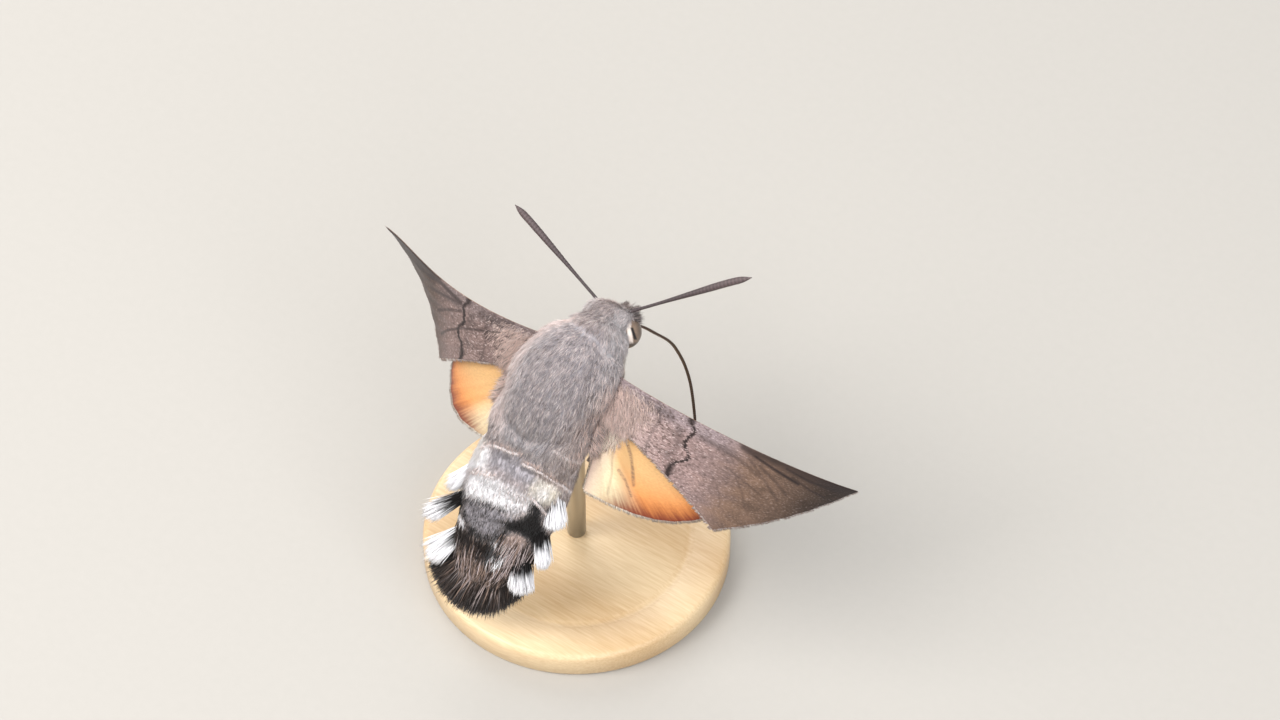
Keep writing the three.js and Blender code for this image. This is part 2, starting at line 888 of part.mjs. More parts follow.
function standBase() {
  const { baseRadius, baseThickness, edgeRound, sides } = STAND;
  const profile = [
    [0, 0],
    [baseRadius, 0],
    [baseRadius, baseThickness - edgeRound],
    [baseRadius - edgeRound, baseThickness],
    [0, baseThickness],
  ];
  const rings = profile.slice(1, -1).map(([radius, z]) => circle(radius, z, sides));
  const bottom = new THREE.Vector3(0, 0, 0);
  const top = new THREE.Vector3(0, 0, baseThickness);
  return ringSkin(rings, bottom, top);
}

function circle(radius, z, sides) {
  const ring = [];
  for (let j = 0; j < sides; j += 1) {
    const a = (j / sides) * 2 * Math.PI;
    ring.push(new THREE.Vector3(radius * Math.cos(a), radius * Math.sin(a), z));
  }
  return ring;
}

function standRod() {
  const bottom = STAND.baseThickness + GAP;
  const top = POSE.thoraxHeight - STAND.rodSunk;
  const rings = [bottom, top].map((z) => circle(STAND.rodRadius, z, STAND.rodSides));
  return ringSkin(rings, new THREE.Vector3(0, 0, bottom), new THREE.Vector3(0, 0, top));
}

// Assembly

const moth = new THREE.Group();
moth.name = "moth";
moth.position.set(0, -POSE.thoraxBack, POSE.thoraxHeight);
moth.rotation.x = POSE.pitch;
moth.updateMatrixWorld(true);

const headGroup = new THREE.Group();
headGroup.name = "head_group";
headGroup.position.copy(HEAD.centre);
headGroup.rotation.set(HEAD.bend, HEAD.roll, 0, "XYZ");
headGroup.updateMatrix();

const grownThorax = thoraxShape(CLEAR);
const thoraxSeenFromHead = grownThorax.clone().applyMatrix4(headGroup.matrix.clone().invert());
const headGrown = headShape(CLEAR);
const proboscisGrown = proboscisShape(0, 0.36, CLEAR);

moth.add(named("thorax", thoraxShape(), COLOUR.thoraxFur, 0.95));
moth.add(
  named("abdomen_front", cutBy(abdomenShape(0, 2), grownThorax), COLOUR.abdomenFur, 0.95),
);
moth.add(named("abdomen_middle", abdomenShape(2, 4), COLOUR.abdomenFur, 0.95));
moth.add(named("abdomen_rear", abdomenShape(4, 5), COLOUR.abdomenDark, 0.95));
moth.add(named("tail_fan", tailShape(), COLOUR.tail, 0.95));

const tailGrown = tailCore(CLEAR, 1.08);
const abdomenGrown = [[0, 2], [2, 4], [4, 5]].map(([a, b]) => abdomenShape(a, b, CLEAR));

for (const [side, sign] of [["left", -1], ["right", 1]]) {
  for (const row of SIDE_TUFT.rows) {
    const tuft = cutBy(tuftShape(sign, row), ...abdomenGrown, tailGrown);
    moth.add(named(`side_tuft_${row[0]}_${side}`, tuft, COLOUR.tuft, 0.95));
  }
  const forewing = cutBy(wingSheet(FOREWING, sign, forewingFlat), grownThorax);
  moth.add(named(`forewing_${side}`, forewing, COLOUR.forewing, 0.85));
  const hindwing = cutBy(
    wingSheet(HINDWING, sign, hindwingFlat),
    grownThorax,
    abdomenGrown[0],
  );
  moth.add(named(`hindwing_${side}`, hindwing, COLOUR.hindwing, 0.85));
  for (const [name, points] of LEG.pairs) {
    const leg = cutBy(legShape(sign, points), grownThorax);
    moth.add(named(`leg_${name}_${side}`, leg, COLOUR.leg, 0.9));
  }
  const eye = cutBy(eyeShape(sign), headGrown, thoraxSeenFromHead);
  headGroup.add(named(`eye_${side}`, eye, COLOUR.eye, 0.25));
  const palp = cutBy(palpShape(sign), headGrown, proboscisGrown);
  headGroup.add(named(`palp_${side}`, palp, COLOUR.palp, 0.95));
  const antenna = cutBy(antennaShape(sign, ANTENNA.aim[side]), headGrown);
  headGroup.add(named(`antenna_${side}`, antenna, COLOUR.antenna, 0.7));
}

headGroup.add(named("head", cutBy(headShape(), thoraxSeenFromHead), COLOUR.headFur, 0.95));
for (const [name, from, to] of PROBOSCIS.parts) {
  const tube = proboscisShape(from, to);
  const shape = from > 0 ? tube : cutBy(tube, headGrown);
  headGroup.add(named(`proboscis_${name}`, shape, COLOUR.proboscis, 0.5));
}
moth.add(headGroup);

const thoraxInWorld = grownThorax.clone().applyMatrix4(moth.matrixWorld);
const model = new THREE.Group();
model.name = "hummingbird_hawk_moth";
model.add(named("stand_base", standBase(), COLOUR.wood, 0.55));
model.add(named("stand_rod", cutBy(standRod(), thoraxInWorld), COLOUR.rod, 0.35, 0.9));
model.add(moth);

export default model;
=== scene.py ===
"""Hummingbird hawk moth, life size, hovering over a plain display stand.

Sizes are millimetres in the moth's own frame unless a name ends in _m: x to its right, y towards
its head, z up from its back, with the origin in the middle of the thorax. Hanging.to_world turns
them into the metres of the shared frame. Places on the body are told by the distance along it and
by a turn in degrees about it, 0 on the right flank, 90 along the back and 180 on the left flank.
"""

import logging
import math
from abc import ABC, abstractmethod
from dataclasses import dataclass, field
from enum import Enum, IntEnum
from typing import Any, Callable, ClassVar, Sequence

import bpy
import numpy as np
from mathutils import Matrix, Vector
from mathutils.kdtree import KDTree


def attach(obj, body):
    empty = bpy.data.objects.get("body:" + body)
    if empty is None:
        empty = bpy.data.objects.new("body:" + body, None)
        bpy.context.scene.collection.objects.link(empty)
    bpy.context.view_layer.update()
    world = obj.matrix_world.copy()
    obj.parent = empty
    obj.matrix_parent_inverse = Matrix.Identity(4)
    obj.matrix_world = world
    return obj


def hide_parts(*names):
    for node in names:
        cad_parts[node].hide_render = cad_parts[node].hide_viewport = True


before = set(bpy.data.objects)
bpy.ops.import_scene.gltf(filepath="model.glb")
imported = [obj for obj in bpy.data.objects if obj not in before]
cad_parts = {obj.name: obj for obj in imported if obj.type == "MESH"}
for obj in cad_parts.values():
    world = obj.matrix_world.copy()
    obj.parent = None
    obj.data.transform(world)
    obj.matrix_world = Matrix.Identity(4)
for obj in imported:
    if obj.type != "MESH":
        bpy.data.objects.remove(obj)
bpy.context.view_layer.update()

Array = np.ndarray
Rng = np.random.Generator
Piece, Tree, Node = bpy.types.Object, bpy.types.NodeTree, bpy.types.Node
Point = tuple[float, float, float]
Line = tuple[tuple[float, float], ...]
SurfaceOf = Callable[[Array, Array], Array]

MM = 0.001
BAKE_MAP = "OFBake"
BAKE_PATCH = 0.003
BODY = "root"
LOG = logging.getLogger("moth")


class Side(Enum):
    """One side of the moth, with the sign of its x axis."""

    LEFT = -1
    RIGHT = 1

    @property
    def label(self) -> str:
        """Name of the side as nodes and pieces spell it."""
        return self.name.lower()


class Mark(IntEnum):
    """Colour marks that skin and coat share, as columns of a mark table."""

    WHITE = 0
    BLACK = 1
    CREAM = 2
    GREY = 3
    BROWN = 4
    PINK = 5


# Numbers and shapes


def unit(vectors: Array) -> Array:
    """Scale vectors to length one."""
    return vectors / np.maximum(np.linalg.norm(vectors, axis=-1, keepdims=True), 1e-12)


def ramp(value: Array, low: float, high: float) -> Array:
    """Rise smoothly from 0 at low to 1 at high."""
    t = np.clip((value - low) / (high - low), 0.0, 1.0)
    return t * t * (3.0 - 2.0 * t)


def band(value: Array, low: float, high: float, soft: float) -> Array:
    """Be 1 between two values and fade to 0 over a soft edge outside them."""
    return ramp(value, low - soft, low) * ramp(value, high + soft, high)


def rotated(points: Array, angle: float, first: int, second: int) -> Array:
    """Turn points from one axis towards another.

    Args:
        points: Array whose last axis is x, y, z.
        angle: Radians.
        first: Number of the axis that turns.
        second: Number of the axis that it turns towards.

    Returns:
        The turned points.
    """
    c, s = math.cos(angle), math.sin(angle)
    out = np.array(points, float)
    out[..., first] = c * points[..., first] - s * points[..., second]
    out[..., second] = s * points[..., first] + c * points[..., second]
    return out


def flattened(vectors: Array, normal: Array) -> Array:
    """Bring directions into the plane across a normal, with length one."""
    return unit(vectors - np.einsum("ij,ij->i", vectors, normal)[:, None] * normal)


def circle(count: int) -> Array:
    """Give the radians of places spread evenly once round."""
    return np.arange(count) / count * 2 * math.pi


def eased_table(rows: Sequence[Sequence[float]], place: Array, column: int) -> Array:
    """Read a table of sizes smoothly between its rows.

    Args:
        rows: Rows of place and sizes, in order of place.
        place: Where to read.
        column: Which size.

    Returns:
        One value for each place.
    """
    table = np.array(rows)
    x, y = table[:, 0], table[:, column]
    place = np.clip(place, x[0], x[-1])
    last, row = len(x) - 1, np.arange(len(x))
    before, after = np.maximum(row - 1, 0), np.minimum(row + 1, last)
    slope = (y[after] - y[before]) / (x[after] - x[before])
    i = np.clip(np.searchsorted(x, place, side="right") - 1, 0, last - 1)
    span = x[i + 1] - x[i]
    t = (place - x[i]) / span
    stay = 2 * t**3 - 3 * t**2 + 1
    leave, arrive = (t**3 - 2 * t**2 + t) * span, (t**3 - t**2) * span
    return stay * y[i] + leave * slope[i] + (1 - stay) * y[i + 1] + arrive * slope[i + 1]


def steer(values: Sequence[float], t: Array) -> Array:
    """Change smoothly through four steering values from root to tip."""
    s = 1.0 - t
    return values[0] * s**3 + 3 * values[1] * s * s * t + 3 * values[2] * s * t * t + values[3] * t**3


def smooth_path(points: Sequence[Sequence[float]], steps: int) -> Array:
    """Run a rounded line through a few points.

    Args:
        points: Points that the line passes.
        steps: How many points the finished line has.

    Returns:
        (steps, 3) points, about evenly spaced.
    """
    p = np.array(points, float)
    p = np.vstack([2 * p[0] - p[1], p, 2 * p[-1] - p[-2]])
    fine = []
    for k in range(1, len(p) - 2):
        t = np.linspace(0, 1, 24, endpoint=False)[:, None]
        a, b, c, d = p[k - 1], p[k], p[k + 1], p[k + 2]
        fine.append(0.5 * (2 * b + (c - a) * t + (2 * a - 5 * b + 4 * c - d) * t**2
                           + (3 * b - a - 3 * c + d) * t**3))
    line = np.vstack(fine + [p[-2:-1]])
    run = np.concatenate([[0.0], np.cumsum(np.linalg.norm(np.diff(line, axis=0), axis=1))])
    at = np.linspace(0, run[-1], steps)
    return np.stack([np.interp(at, run, line[:, k]) for k in range(3)], axis=-1)


# How the moth hangs


@dataclass(frozen=True)
class Hanging:
    """Place and tilt of the moth over its stand."""

    thorax_height: float = 24.6
    thorax_back: float = 1.6
    pitch_deg: float = 40.6
    head_centre: Point = (0.25, 5.45, -2.95)
    head_bend_deg: float = -40.0
    head_roll_deg: float = -13.0

    def to_world(self, points: Array) -> Array:
        """Carry body millimetres into the shared frame's metres."""
        turned = rotated(points, math.radians(self.pitch_deg), 1, 2)
        return (turned + np.array([0.0, -self.thorax_back, self.thorax_height])) * MM

    def head_to_body(self, points: Array) -> Array:
        """Carry points of the head's own frame into the body's."""
        turned = rotated(points, math.radians(self.head_roll_deg), 2, 0)
        return rotated(turned, math.radians(self.head_bend_deg), 1, 2) + np.array(self.head_centre)


HANGING = Hanging()
# Directions in the head's frame: across the right eye, up the face and outward.
FACE = np.array([[0.805, 0.5605, -0.192], [-0.3006, 0.666, 0.6824], [0.511, -0.492, 0.705]])


# Meshes


def new_mesh(name: str, points_m: Array, triangles: Array) -> Piece:
    """Make a smooth mesh object from arrays.

    Args:
        name: Name of the piece.
        points_m: (n, 3) points in metres.
        triangles: (m, 3) corner numbers, facing out.

    Returns:
        The object, linked to the scene.
    """
    mesh = bpy.data.meshes.new(name)
    mesh.vertices.add(len(points_m))
    mesh.vertices.foreach_set("co", np.ascontiguousarray(points_m, np.float32).ravel())
    mesh.loops.add(triangles.size)
    mesh.loops.foreach_set("vertex_index", np.ascontiguousarray(triangles, np.int32).ravel())
    mesh.polygons.add(len(triangles))
    mesh.polygons.foreach_set("loop_start", np.arange(0, triangles.size, 3, dtype=np.int32))
    mesh.polygons.foreach_set("use_smooth", np.ones(len(triangles), bool))
    mesh.update(calc_edges=True)
    piece = bpy.data.objects.new(name, mesh)
    bpy.context.scene.collection.objects.link(piece)
    return piece


def set_vectors(piece: Piece, name: str, values: Array) -> None:
    """Keep three numbers a point on a mesh, for its material to read."""
    attribute = piece.data.attributes.new(name, "FLOAT_VECTOR", "POINT")
    attribute.data.foreach_set("vector", np.ascontiguousarray(values, np.float32).ravel())


def set_bake_map(piece: Piece, places: Array) -> None:
    """Give a mesh its own flat map, one place for each point.

    Args:
        piece: The mesh object.
        places: (n, 2) places between 0 and 1.
    """
    mesh = piece.data
    corners = np.empty(len(mesh.loops), np.int32)
    mesh.loops.foreach_get("vertex_index", corners)
    layer = mesh.uv_layers.new(name=BAKE_MAP)
    layer.data.foreach_set("uv", np.ascontiguousarray(places[corners], np.float32).ravel())


def marked(shape: tuple[int, ...], **shares: Any) -> Array:
    """Fill a table of marks.

    Args:
        shape: Shape of the places.
        shares: Share of each mark, under its name in small letters.

    Returns:
        Shares of each Mark, on one more axis.
    """
    marks = np.zeros(shape + (len(Mark),))
    for name, share in shares.items():
        marks[..., Mark[name.upper()]] = share
    return marks


def set_marks(piece: Piece, marks: Array, strand: Array) -> None:
    """Keep the coat's colour marks and its strand facts on a mesh."""
    for name, values in (("marks_first", marks[:, :3]), ("marks_second", marks[:, 3:]), ("strand", strand)):
        set_vectors(piece, name, values)


def closed_rings(rings: Array, first: Array, last: Array) -> tuple[Array, Array]:
    """Skin a row of rings and close it with a point at each end.

    Args:
        rings: (k, m, 3) points.
        first: Point that closes the first ring.
        last: Point that closes the last ring.

    Returns:
        Points and triangles.
    """
    count, sides = rings.shape[:2]
    points = np.vstack([first[None], rings.reshape(-1, 3), last[None]])
    i, j = np.meshgrid(np.arange(count - 1), np.arange(sides), indexing="ij")
    a, b = 1 + i * sides + j, 1 + i * sides + (j + 1) % sides
    c, d = b + sides, a + sides
    turn = np.arange(sides)
    after = (turn + 1) % sides
    base = 1 + (count - 1) * sides
    corners = ((a, b, c), (a, c, d), (np.zeros(sides, int), 1 + after, 1 + turn),
               (np.full(sides, len(points) - 1), base + turn, base + after))
    return points, outward(points, np.vstack([np.stack(three, -1).reshape(-1, 3) for three in corners]))


def ball(rows: int, sides: int, gap: float) -> tuple[Array, Array, Array]:
    """Shape a ball of radius one.

    Args:
        rows: Rings from end to end.
        sides: Points round each ring.
        gap: Radians between an end and its next ring.

    Returns:
        Rings about the y axis and the two points that close them.
    """
    polar, turn = np.meshgrid(np.linspace(gap, math.pi - gap, rows), circle(sides), indexing="ij")
    rings = np.stack([np.sin(polar) * np.cos(turn), np.cos(polar), np.sin(polar) * np.sin(turn)], -1)
    return rings, np.array([0.0, 1.0, 0.0]), np.array([0.0, -1.0, 0.0])


def outward(points: Array, triangles: Array) -> Array:
    """Turn a closed surface's triangles so that they face out.

    Args:
        points: (n, 3) points.
        triangles: (m, 3) corner numbers that agree with each other.

    Returns:
        The triangles, reversed where the volume inside came out negative.
    """
    a, b, c = (points[triangles[:, k]] for k in range(3))
    volume = np.einsum("ij,ij->i", a, np.cross(b, c)).sum()
    return triangles if volume > 0 else triangles[:, ::-1]


def tube(path: Array, wide: Array, high: Array, over: Sequence[float], sides: int) -> tuple[Array, Array]:
    """Sweep an oval along a path and close both ends.

    Args:
        path: (k, 3) middle line.
        wide: (k,) half widths.
        high: (k,) half heights.
        over: Direction that the height points to, roughly.
        sides: Points round the oval.

    Returns:
        Points and triangles.
    """
    along = unit(np.gradient(path, axis=0))
    across = unit(np.cross(along, np.array(over, float)))
    up = np.cross(across, along)
    a = circle(sides)
    ring = (across[:, None] * (wide[:, None] * np.cos(a))[..., None]
            + up[:, None] * (high[:, None] * np.sin(a))[..., None])
    return closed_rings(path[:, None] + ring, path[0], path[-1])


def joined(parts: Sequence[tuple[Array, Array]]) -> tuple[Array, Array]:
    """Put several point and triangle pairs into one.

    Args:
        parts: The pairs.

    Returns:
        One pair that holds them all.
    """
    starts = np.cumsum([0] + [len(points) for points, _ in parts])
    return (np.vstack([points for points, _ in parts]),
            np.vstack([triangles + start for (_, triangles), start in zip(parts, starts)]))


def nearest(places: Array, wanted: Array) -> Array:
    """Find the nearest place for each wanted point.

    Args:
        places: (n, 3) places to choose from.
        wanted: (m, 3) points.

    Returns:
        (m,) numbers of their nearest places.
    """
    tree = KDTree(len(places))
    for k, place in enumerate(places):
        tree.insert(place, k)
    tree.balance()
    return np.array([tree.find(point)[1] for point in wanted])


# Body forms


def squared(turn: Array, power: float) -> tuple[Array, Array]:
    """Go round an oval that is a little squared off.

    Args:
        turn: Radians about it.
        power: 2 for a plain oval, more for a squarer one.

    Returns:
        Shares of its half width and of its half height.
    """
    ways = np.cos(turn), np.sin(turn)
    level, upright = (np.sign(way) * np.abs(way) ** (2.0 / power) for way in ways)
    return level, upright


@dataclass(frozen=True)
class Ovoid:
    """Rounded block along y, closed to a point at each end."""

    front: float
    rear: float
    half_width: float
    up: float
    down: float
    power: float
    droop: float = 0.0
    section_power: float = 2.1

    def at(self, along: Array, turn: Array, grow: float = 0.0) -> Array:
        """Find points on the surface.

        Args:
            along: 0 at the front to 1 at the rear.
            turn: Radians about y.
            grow: Height over the plain surface.

        Returns:
            Points in the block's own frame.
        """
        t = np.cos(np.pi * along)
        y = t * np.where(t > 0, self.front + grow, self.rear + grow)
        full = (1.0 - np.abs(t) ** self.power) ** (1.0 / self.power)
        level, upright = squared(turn, self.section_power)
        high = np.where(np.sin(turn) > 0, self.up + grow, self.down + grow)
        fall = self.droop * np.maximum(0.0, y / self.front) ** 2
        return np.stack([level * (self.half_width + grow) * full, y, upright * high * full - fall], axis=-1)


THORAX = Ovoid(5.7, 5.8, 4.45, 4.3, 4.0, 2.5, droop=1.5)
HEAD = Ovoid(2.0, 3.1, 2.1, 2.65, 1.9, 2.2)


@dataclass(frozen=True)
class Abdomen:
    """Bent, tapering trunk of five rings behind the thorax."""

    start: Point = (0.0, -3.6, -0.2)
    droop_deg: tuple[float, float] = (10.0, 34.0)
    side_deg: tuple[float, float] = (-2.5, -7.0)
    roll_deg: float = -8.0
    ring_length: float = 2.7
    rings: int = 5
    bend_length: float = 18.5
    section_power: float = 2.15
    profile: tuple[tuple[float, ...], ...] = (
        (-0.4, 3.5, 2.9, 2.9),
        (1.5, 4.2, 3.0, 3.1),
        (4.5, 4.5, 2.9, 3.0),
        (8.0, 4.35, 2.6, 2.7),
        (11.5, 3.7, 2.1, 2.2),
        (14.2, 2.9, 1.5, 1.6),
    )

    @property
    def length(self) -> float:
        """Length of the five rings together."""
        return self.ring_length * self.rings

    def axis(self, distance: Array) -> tuple[Array, Array, Array]:
        """Follow the middle line.

        Args:
            distance: Millimetres along it.

        Returns:
            Its points, its downward lean and its roll, in radians.
        """
        distance = np.asarray(distance, float)
        steps = 24
        centre = np.zeros(distance.shape + (3,)) + np.array(self.start)
        lean = np.zeros(distance.shape)
        for i in range(steps):
            share = distance * (i + 0.5) / steps / self.bend_length
            lean = np.radians(self.droop_deg[0] + (self.droop_deg[1] - self.droop_deg[0]) * share)
            side = np.radians(self.side_deg[0] + (self.side_deg[1] - self.side_deg[0]) * share)
            step = np.stack([np.sin(side), -np.cos(lean), -np.sin(lean)], axis=-1)
            centre += step * (distance / steps)[..., None]
        return centre, lean, math.radians(self.roll_deg) * ramp(distance, 0.0, 8.0)

    def at(self, distance: Array, turn: Array, grow: float = 0.0) -> Array:
        """Find points on the surface.

        Args:
            distance: Millimetres along the trunk.
            turn: Radians about it.
            grow: Height over the plain surface.

        Returns:
            Points in the body's frame.
        """
        wide, high, low = (eased_table(self.profile, distance, k) + grow for k in (1, 2, 3))
        level, upright = squared(turn, self.section_power)
        right, up = level * wide, upright * np.where(np.sin(turn) > 0, high, low)
        centre, lean, roll = self.axis(distance)
        x = np.cos(roll) * right - np.sin(roll) * up
        z = np.sin(roll) * right + np.cos(roll) * up
        return centre + np.stack([x, -np.sin(lean) * z, np.cos(lean) * z], axis=-1)


ABDOMEN = Abdomen()


@dataclass(frozen=True)
class TailFan:
    """Flat fan of long scales at the end of the abdomen."""

    length: float = 6.25
    half_width: float = 3.55
    root_half_width: float = 3.0
    rounding: float = 0.5
    aside: float = -0.74

    def at(self, along: Array, across: Array, above: Array) -> Array:
        """Find places in the fan.

        Args:
            along: 0 at the root to 1 at the rim.
            across: -1 at the left edge to 1 at the right.
            above: Millimetres over the fan's middle.

        Returns:
            Points in the body's frame.
        """
        reach = along * (1.0 - self.rounding * across**2)
        spread = np.maximum(along, 0.0) ** 0.8
        wide = self.root_half_width + (self.half_width - self.root_half_width) * spread
        centre, lean, roll = ABDOMEN.axis(ABDOMEN.length + self.length * reach)
        out = across * wide + self.aside * along
        z = above + np.sin(roll) * out
        return centre + np.stack([np.cos(roll) * out, -np.sin(lean) * z, np.cos(lean) * z], axis=-1)


TAIL_FAN = TailFan()


def scatter(rng: Rng, surface: SurfaceOf, count: int, reach: tuple[float, float]) -> tuple[Array, Array]:
    """Spread places over a surface by its true area.

    Args:
        rng: Source of chance.
        surface: Gives a point for a place along and a turn in radians.
        count: How many places.
        reach: Range of the place along.

    Returns:
        Place along and turn of each.
    """
    u, v = np.linspace(*reach, 201), np.linspace(0.0, 2 * math.pi, 201)
    grid = surface(*np.meshgrid(u, v, indexing="ij"))
    patch = np.cross(grid[1:, :-1] - grid[:-1, :-1], grid[:-1, 1:] - grid[:-1, :-1])
    area = np.linalg.norm(patch, axis=-1)
    cell = rng.choice(area.size, count, p=area.ravel() / area.sum())
    i, j = np.unravel_index(cell, area.shape)
    return u[i] + rng.random(count) * (u[1] - u[0]), v[j] + rng.random(count) * (v[1] - v[0])


def local_frame(surface: SurfaceOf, first: Array, second: Array) -> tuple[Array, Array, Array]:
    """Read a surface's points with their directions.

    Args:
        surface: Gives a point for two coordinates, the first of which runs rearward.
        first: First coordinates.
        second: Second coordinates.

    Returns:
        Points, outward directions and rearward directions.
    """
    step = 1e-3
    point = surface(first, second)
    rearward = unit(surface(first + step, second) - surface(first - step, second))
    around = surface(first, second + step) - surface(first, second - step)
    normal = unit(np.cross(around, rearward))
    middle = point.mean(axis=0)
    if np.median(np.einsum("ij,ij->i", normal, point - middle)) < 0:
        normal = -normal
    return point, normal, rearward


# Colour marks of the body


DEGREE_MM = 0.065


@dataclass(frozen=True)
class Patch:
    """Patch of one mark on the trunk, outlined by distances and turns."""

    mark: Mark
    strength: float
    corners: Line
    soft: float = 0.22
    speckle: float = 1.0

    def cover(self, distance: Array, turn_deg: Array) -> Array:
        """Tell how much of the patch covers each place.

        Args:
            distance: Millimetres along the trunk.
            turn_deg: Degrees about it.

        Returns:
            Up to the patch's strength inside it, fading to 0 outside.
        """
        x, y = distance, turn_deg * DEGREE_MM
        outline = np.array(self.corners + self.corners[:1], float) * np.array([1.0, DEGREE_MM])
        inside = np.zeros(x.shape, bool)
        for a, b in zip(outline[:-1], outline[1:]):
            crosses = (a[1] > y) != (b[1] > y)
            share = (y - a[1]) / np.where(crosses, b[1] - a[1], 1.0)
            inside ^= crosses & (x < a[0] + share * (b[0] - a[0]))
        away = line_distance(x, y, outline)
        return self.strength * ramp(np.where(inside, away, -away), -self.soft, self.soft)


@dataclass(frozen=True)
class Stripe:
    """Stripe of one mark on the trunk, along a path of distances and turns."""

    mark: Mark
    strength: float
    half_width: float
    path: Line
    soft: float = 0.14
    speckle: float = 1.0

    def cover(self, distance: Array, turn_deg: Array) -> Array:
        """Tell how much of the stripe covers each place.

        Args:
            distance: Millimetres along the trunk.
            turn_deg: Degrees about it.

        Returns:
            Up to the stripe's strength on its path, fading to 0 beside it.
        """
        line = np.array(self.path, float) * np.array([1.0, DEGREE_MM])
        away = line_distance(distance, turn_deg * DEGREE_MM, line)
        return self.strength * ramp(away, self.half_width + self.soft, self.half_width - self.soft / 2)


def line_distance(x: Array, y: Array, line: Array) -> Array:
    """Measure how far places lie from a line of straight lengths.

    Args:
        x: First coordinates.
        y: Second coordinates.
        line: (k, 2) points of the line.

    Returns:
        The distances.
    """
    away = np.full(x.shape, 1e9)
    for a, b in zip(line[:-1], line[1:]):
        way = b - a
        t = np.clip(((x - a[0]) * way[0] + (y - a[1]) * way[1]) / max(float(way @ way), 1e-9), 0.0, 1.0)
        away = np.minimum(away, np.hypot(x - a[0] - t * way[0], y - a[1] - t * way[1]))
    return away


# Marks of the rings from front to rear, later ones over earlier ones; each pair is the distance
# in millimetres and the turn in degrees. A speckled mark takes only that share of the hairs.
DARK_BACK = ((8.1, 138), (7.5, 107), (7.3, 86), (8.3, 76), (9.7, 80), (10.4, 102), (10.2, 122), (9.3, 142))
ABDOMEN_MARKS: tuple[Patch | Stripe, ...] = (
    Patch(Mark.GREY, 0.8, ((2.6, 126), (2.35, 96), (2.2, 76), (3.0, 60), (4.5, 68), (5.1, 90),
                           (5.1, 112), (4.0, 132)), 0.5),
    Patch(Mark.BROWN, 0.75, ((2.7, 71), (2.8, 50), (3.4, 22), (4.2, 20), (3.6, 40), (3.3, 62)), 0.3, 0.7),
    Patch(Mark.CREAM, 0.9, ((3.5, 60), (3.6, 42), (4.2, 28), (5.2, 36), (5.4, 52), (4.9, 64), (4.2, 66)),
          0.55),
    Patch(Mark.WHITE, 0.45, ((3.8, 58), (3.9, 44), (4.8, 40), (5.2, 50), (4.8, 62)), 0.4),
    Patch(Mark.WHITE, 1.0, ((3.1, 134), (3.1, 178), (6.6, 180), (6.0, 138), (4.4, 126)), 0.5),
    Patch(Mark.CREAM, 0.4, ((2.9, 140), (3.0, 170), (5.0, 170), (5.0, 142)), 0.4),
    Patch(Mark.PINK, 0.15, ((4.2, 124), (4.0, 96), (4.2, 74), (5.0, 66), (5.2, 100), (5.4, 128)), 0.4),
    Patch(Mark.WHITE, 1.0, ((6.2, 164), (4.7, 126), (5.0, 99), (5.2, 74), (5.35, 62), (6.1, 60),
                            (7.0, 84), (7.35, 106), (7.9, 132), (8.3, 156)), 0.6, 0.85),
    Patch(Mark.PINK, 0.5, ((5.2, 92), (5.2, 66), (6.0, 64), (6.8, 84)), 0.4, 0.35),
    Patch(Mark.BROWN, 0.9, ((10.3, 196), (10.2, 140), (10.6, 106), (10.0, 80), (8.8, 70), (8.6, 40),
                            (9.2, -6), (15.0, -10), (15.0, 196))),
    Patch(Mark.BLACK, 0.9, ((10.3, 196), (10.2, 140), (10.6, 106), (10.0, 80), (9.6, 40), (9.2, -6),
                            (15.0, -10), (15.0, 196)), 0.3, 0.42),
    Patch(Mark.PINK, 0.8, ((9.0, 74), (8.9, 58), (9.8, 44), (11.0, 50), (10.8, 70), (10.0, 78)), 0.4, 0.5),
    Patch(Mark.GREY, 0.9, DARK_BACK, 0.3),
    Patch(Mark.BLACK, 0.92, DARK_BACK, 0.3, 0.3),
    Stripe(Mark.BLACK, 1.0, 0.22, ((8.3, 150), (7.75, 128), (7.35, 104), (7.15, 88)), 0.25, 0.6),
    Stripe(Mark.BLACK, 1.0, 0.34, ((8.3, 150), (9.3, 146), (10.2, 128), (10.5, 104), (10.0, 84), (8.9, 78)),
           0.25, 0.85),
    Patch(Mark.BLACK, 1.0, ((8.1, 88), (7.6, 76), (6.8, 62), (5.5, 60), (5.3, 53), (5.9, 45), (7.0, 38),
                            (8.0, 24), (9.3, 8), (10.6, 20), (9.8, 36), (8.9, 50), (8.7, 62), (8.9, 78)),
          0.22),
    Patch(Mark.BLACK, 1.0, ((7.6, 160), (7.4, 190), (11.5, 194), (11.4, 166), (10.4, 152), (9.0, 152)),
          0.25, 0.92),
    Patch(Mark.WHITE, 1.0, ((10.1, 168), (10.0, 140), (10.6, 132), (10.9, 150), (10.9, 170)), 0.15, 0.85),
    Patch(Mark.WHITE, 1.0, ((10.3, 88), (10.25, 66), (11.0, 64), (11.1, 86)), 0.15, 0.95),
    Stripe(Mark.PINK, 0.8, 0.08, ((3.6, 156), (2.5, 124), (2.1, 107), (1.9, 88))),
    Stripe(Mark.PINK, 0.9, 0.09, ((2.5, 84), (2.35, 72), (2.73, 50), (3.3, 25), (4.0, 0))),
    Stripe(Mark.PINK, 0.9, 0.1, ((0.4, 52), (0.6, 33), (0.8, 17), (0.8, 0))),
    Stripe(Mark.PINK, 0.7, 0.08, ((6.1, 160), (5.11, 129), (4.72, 107))),
)


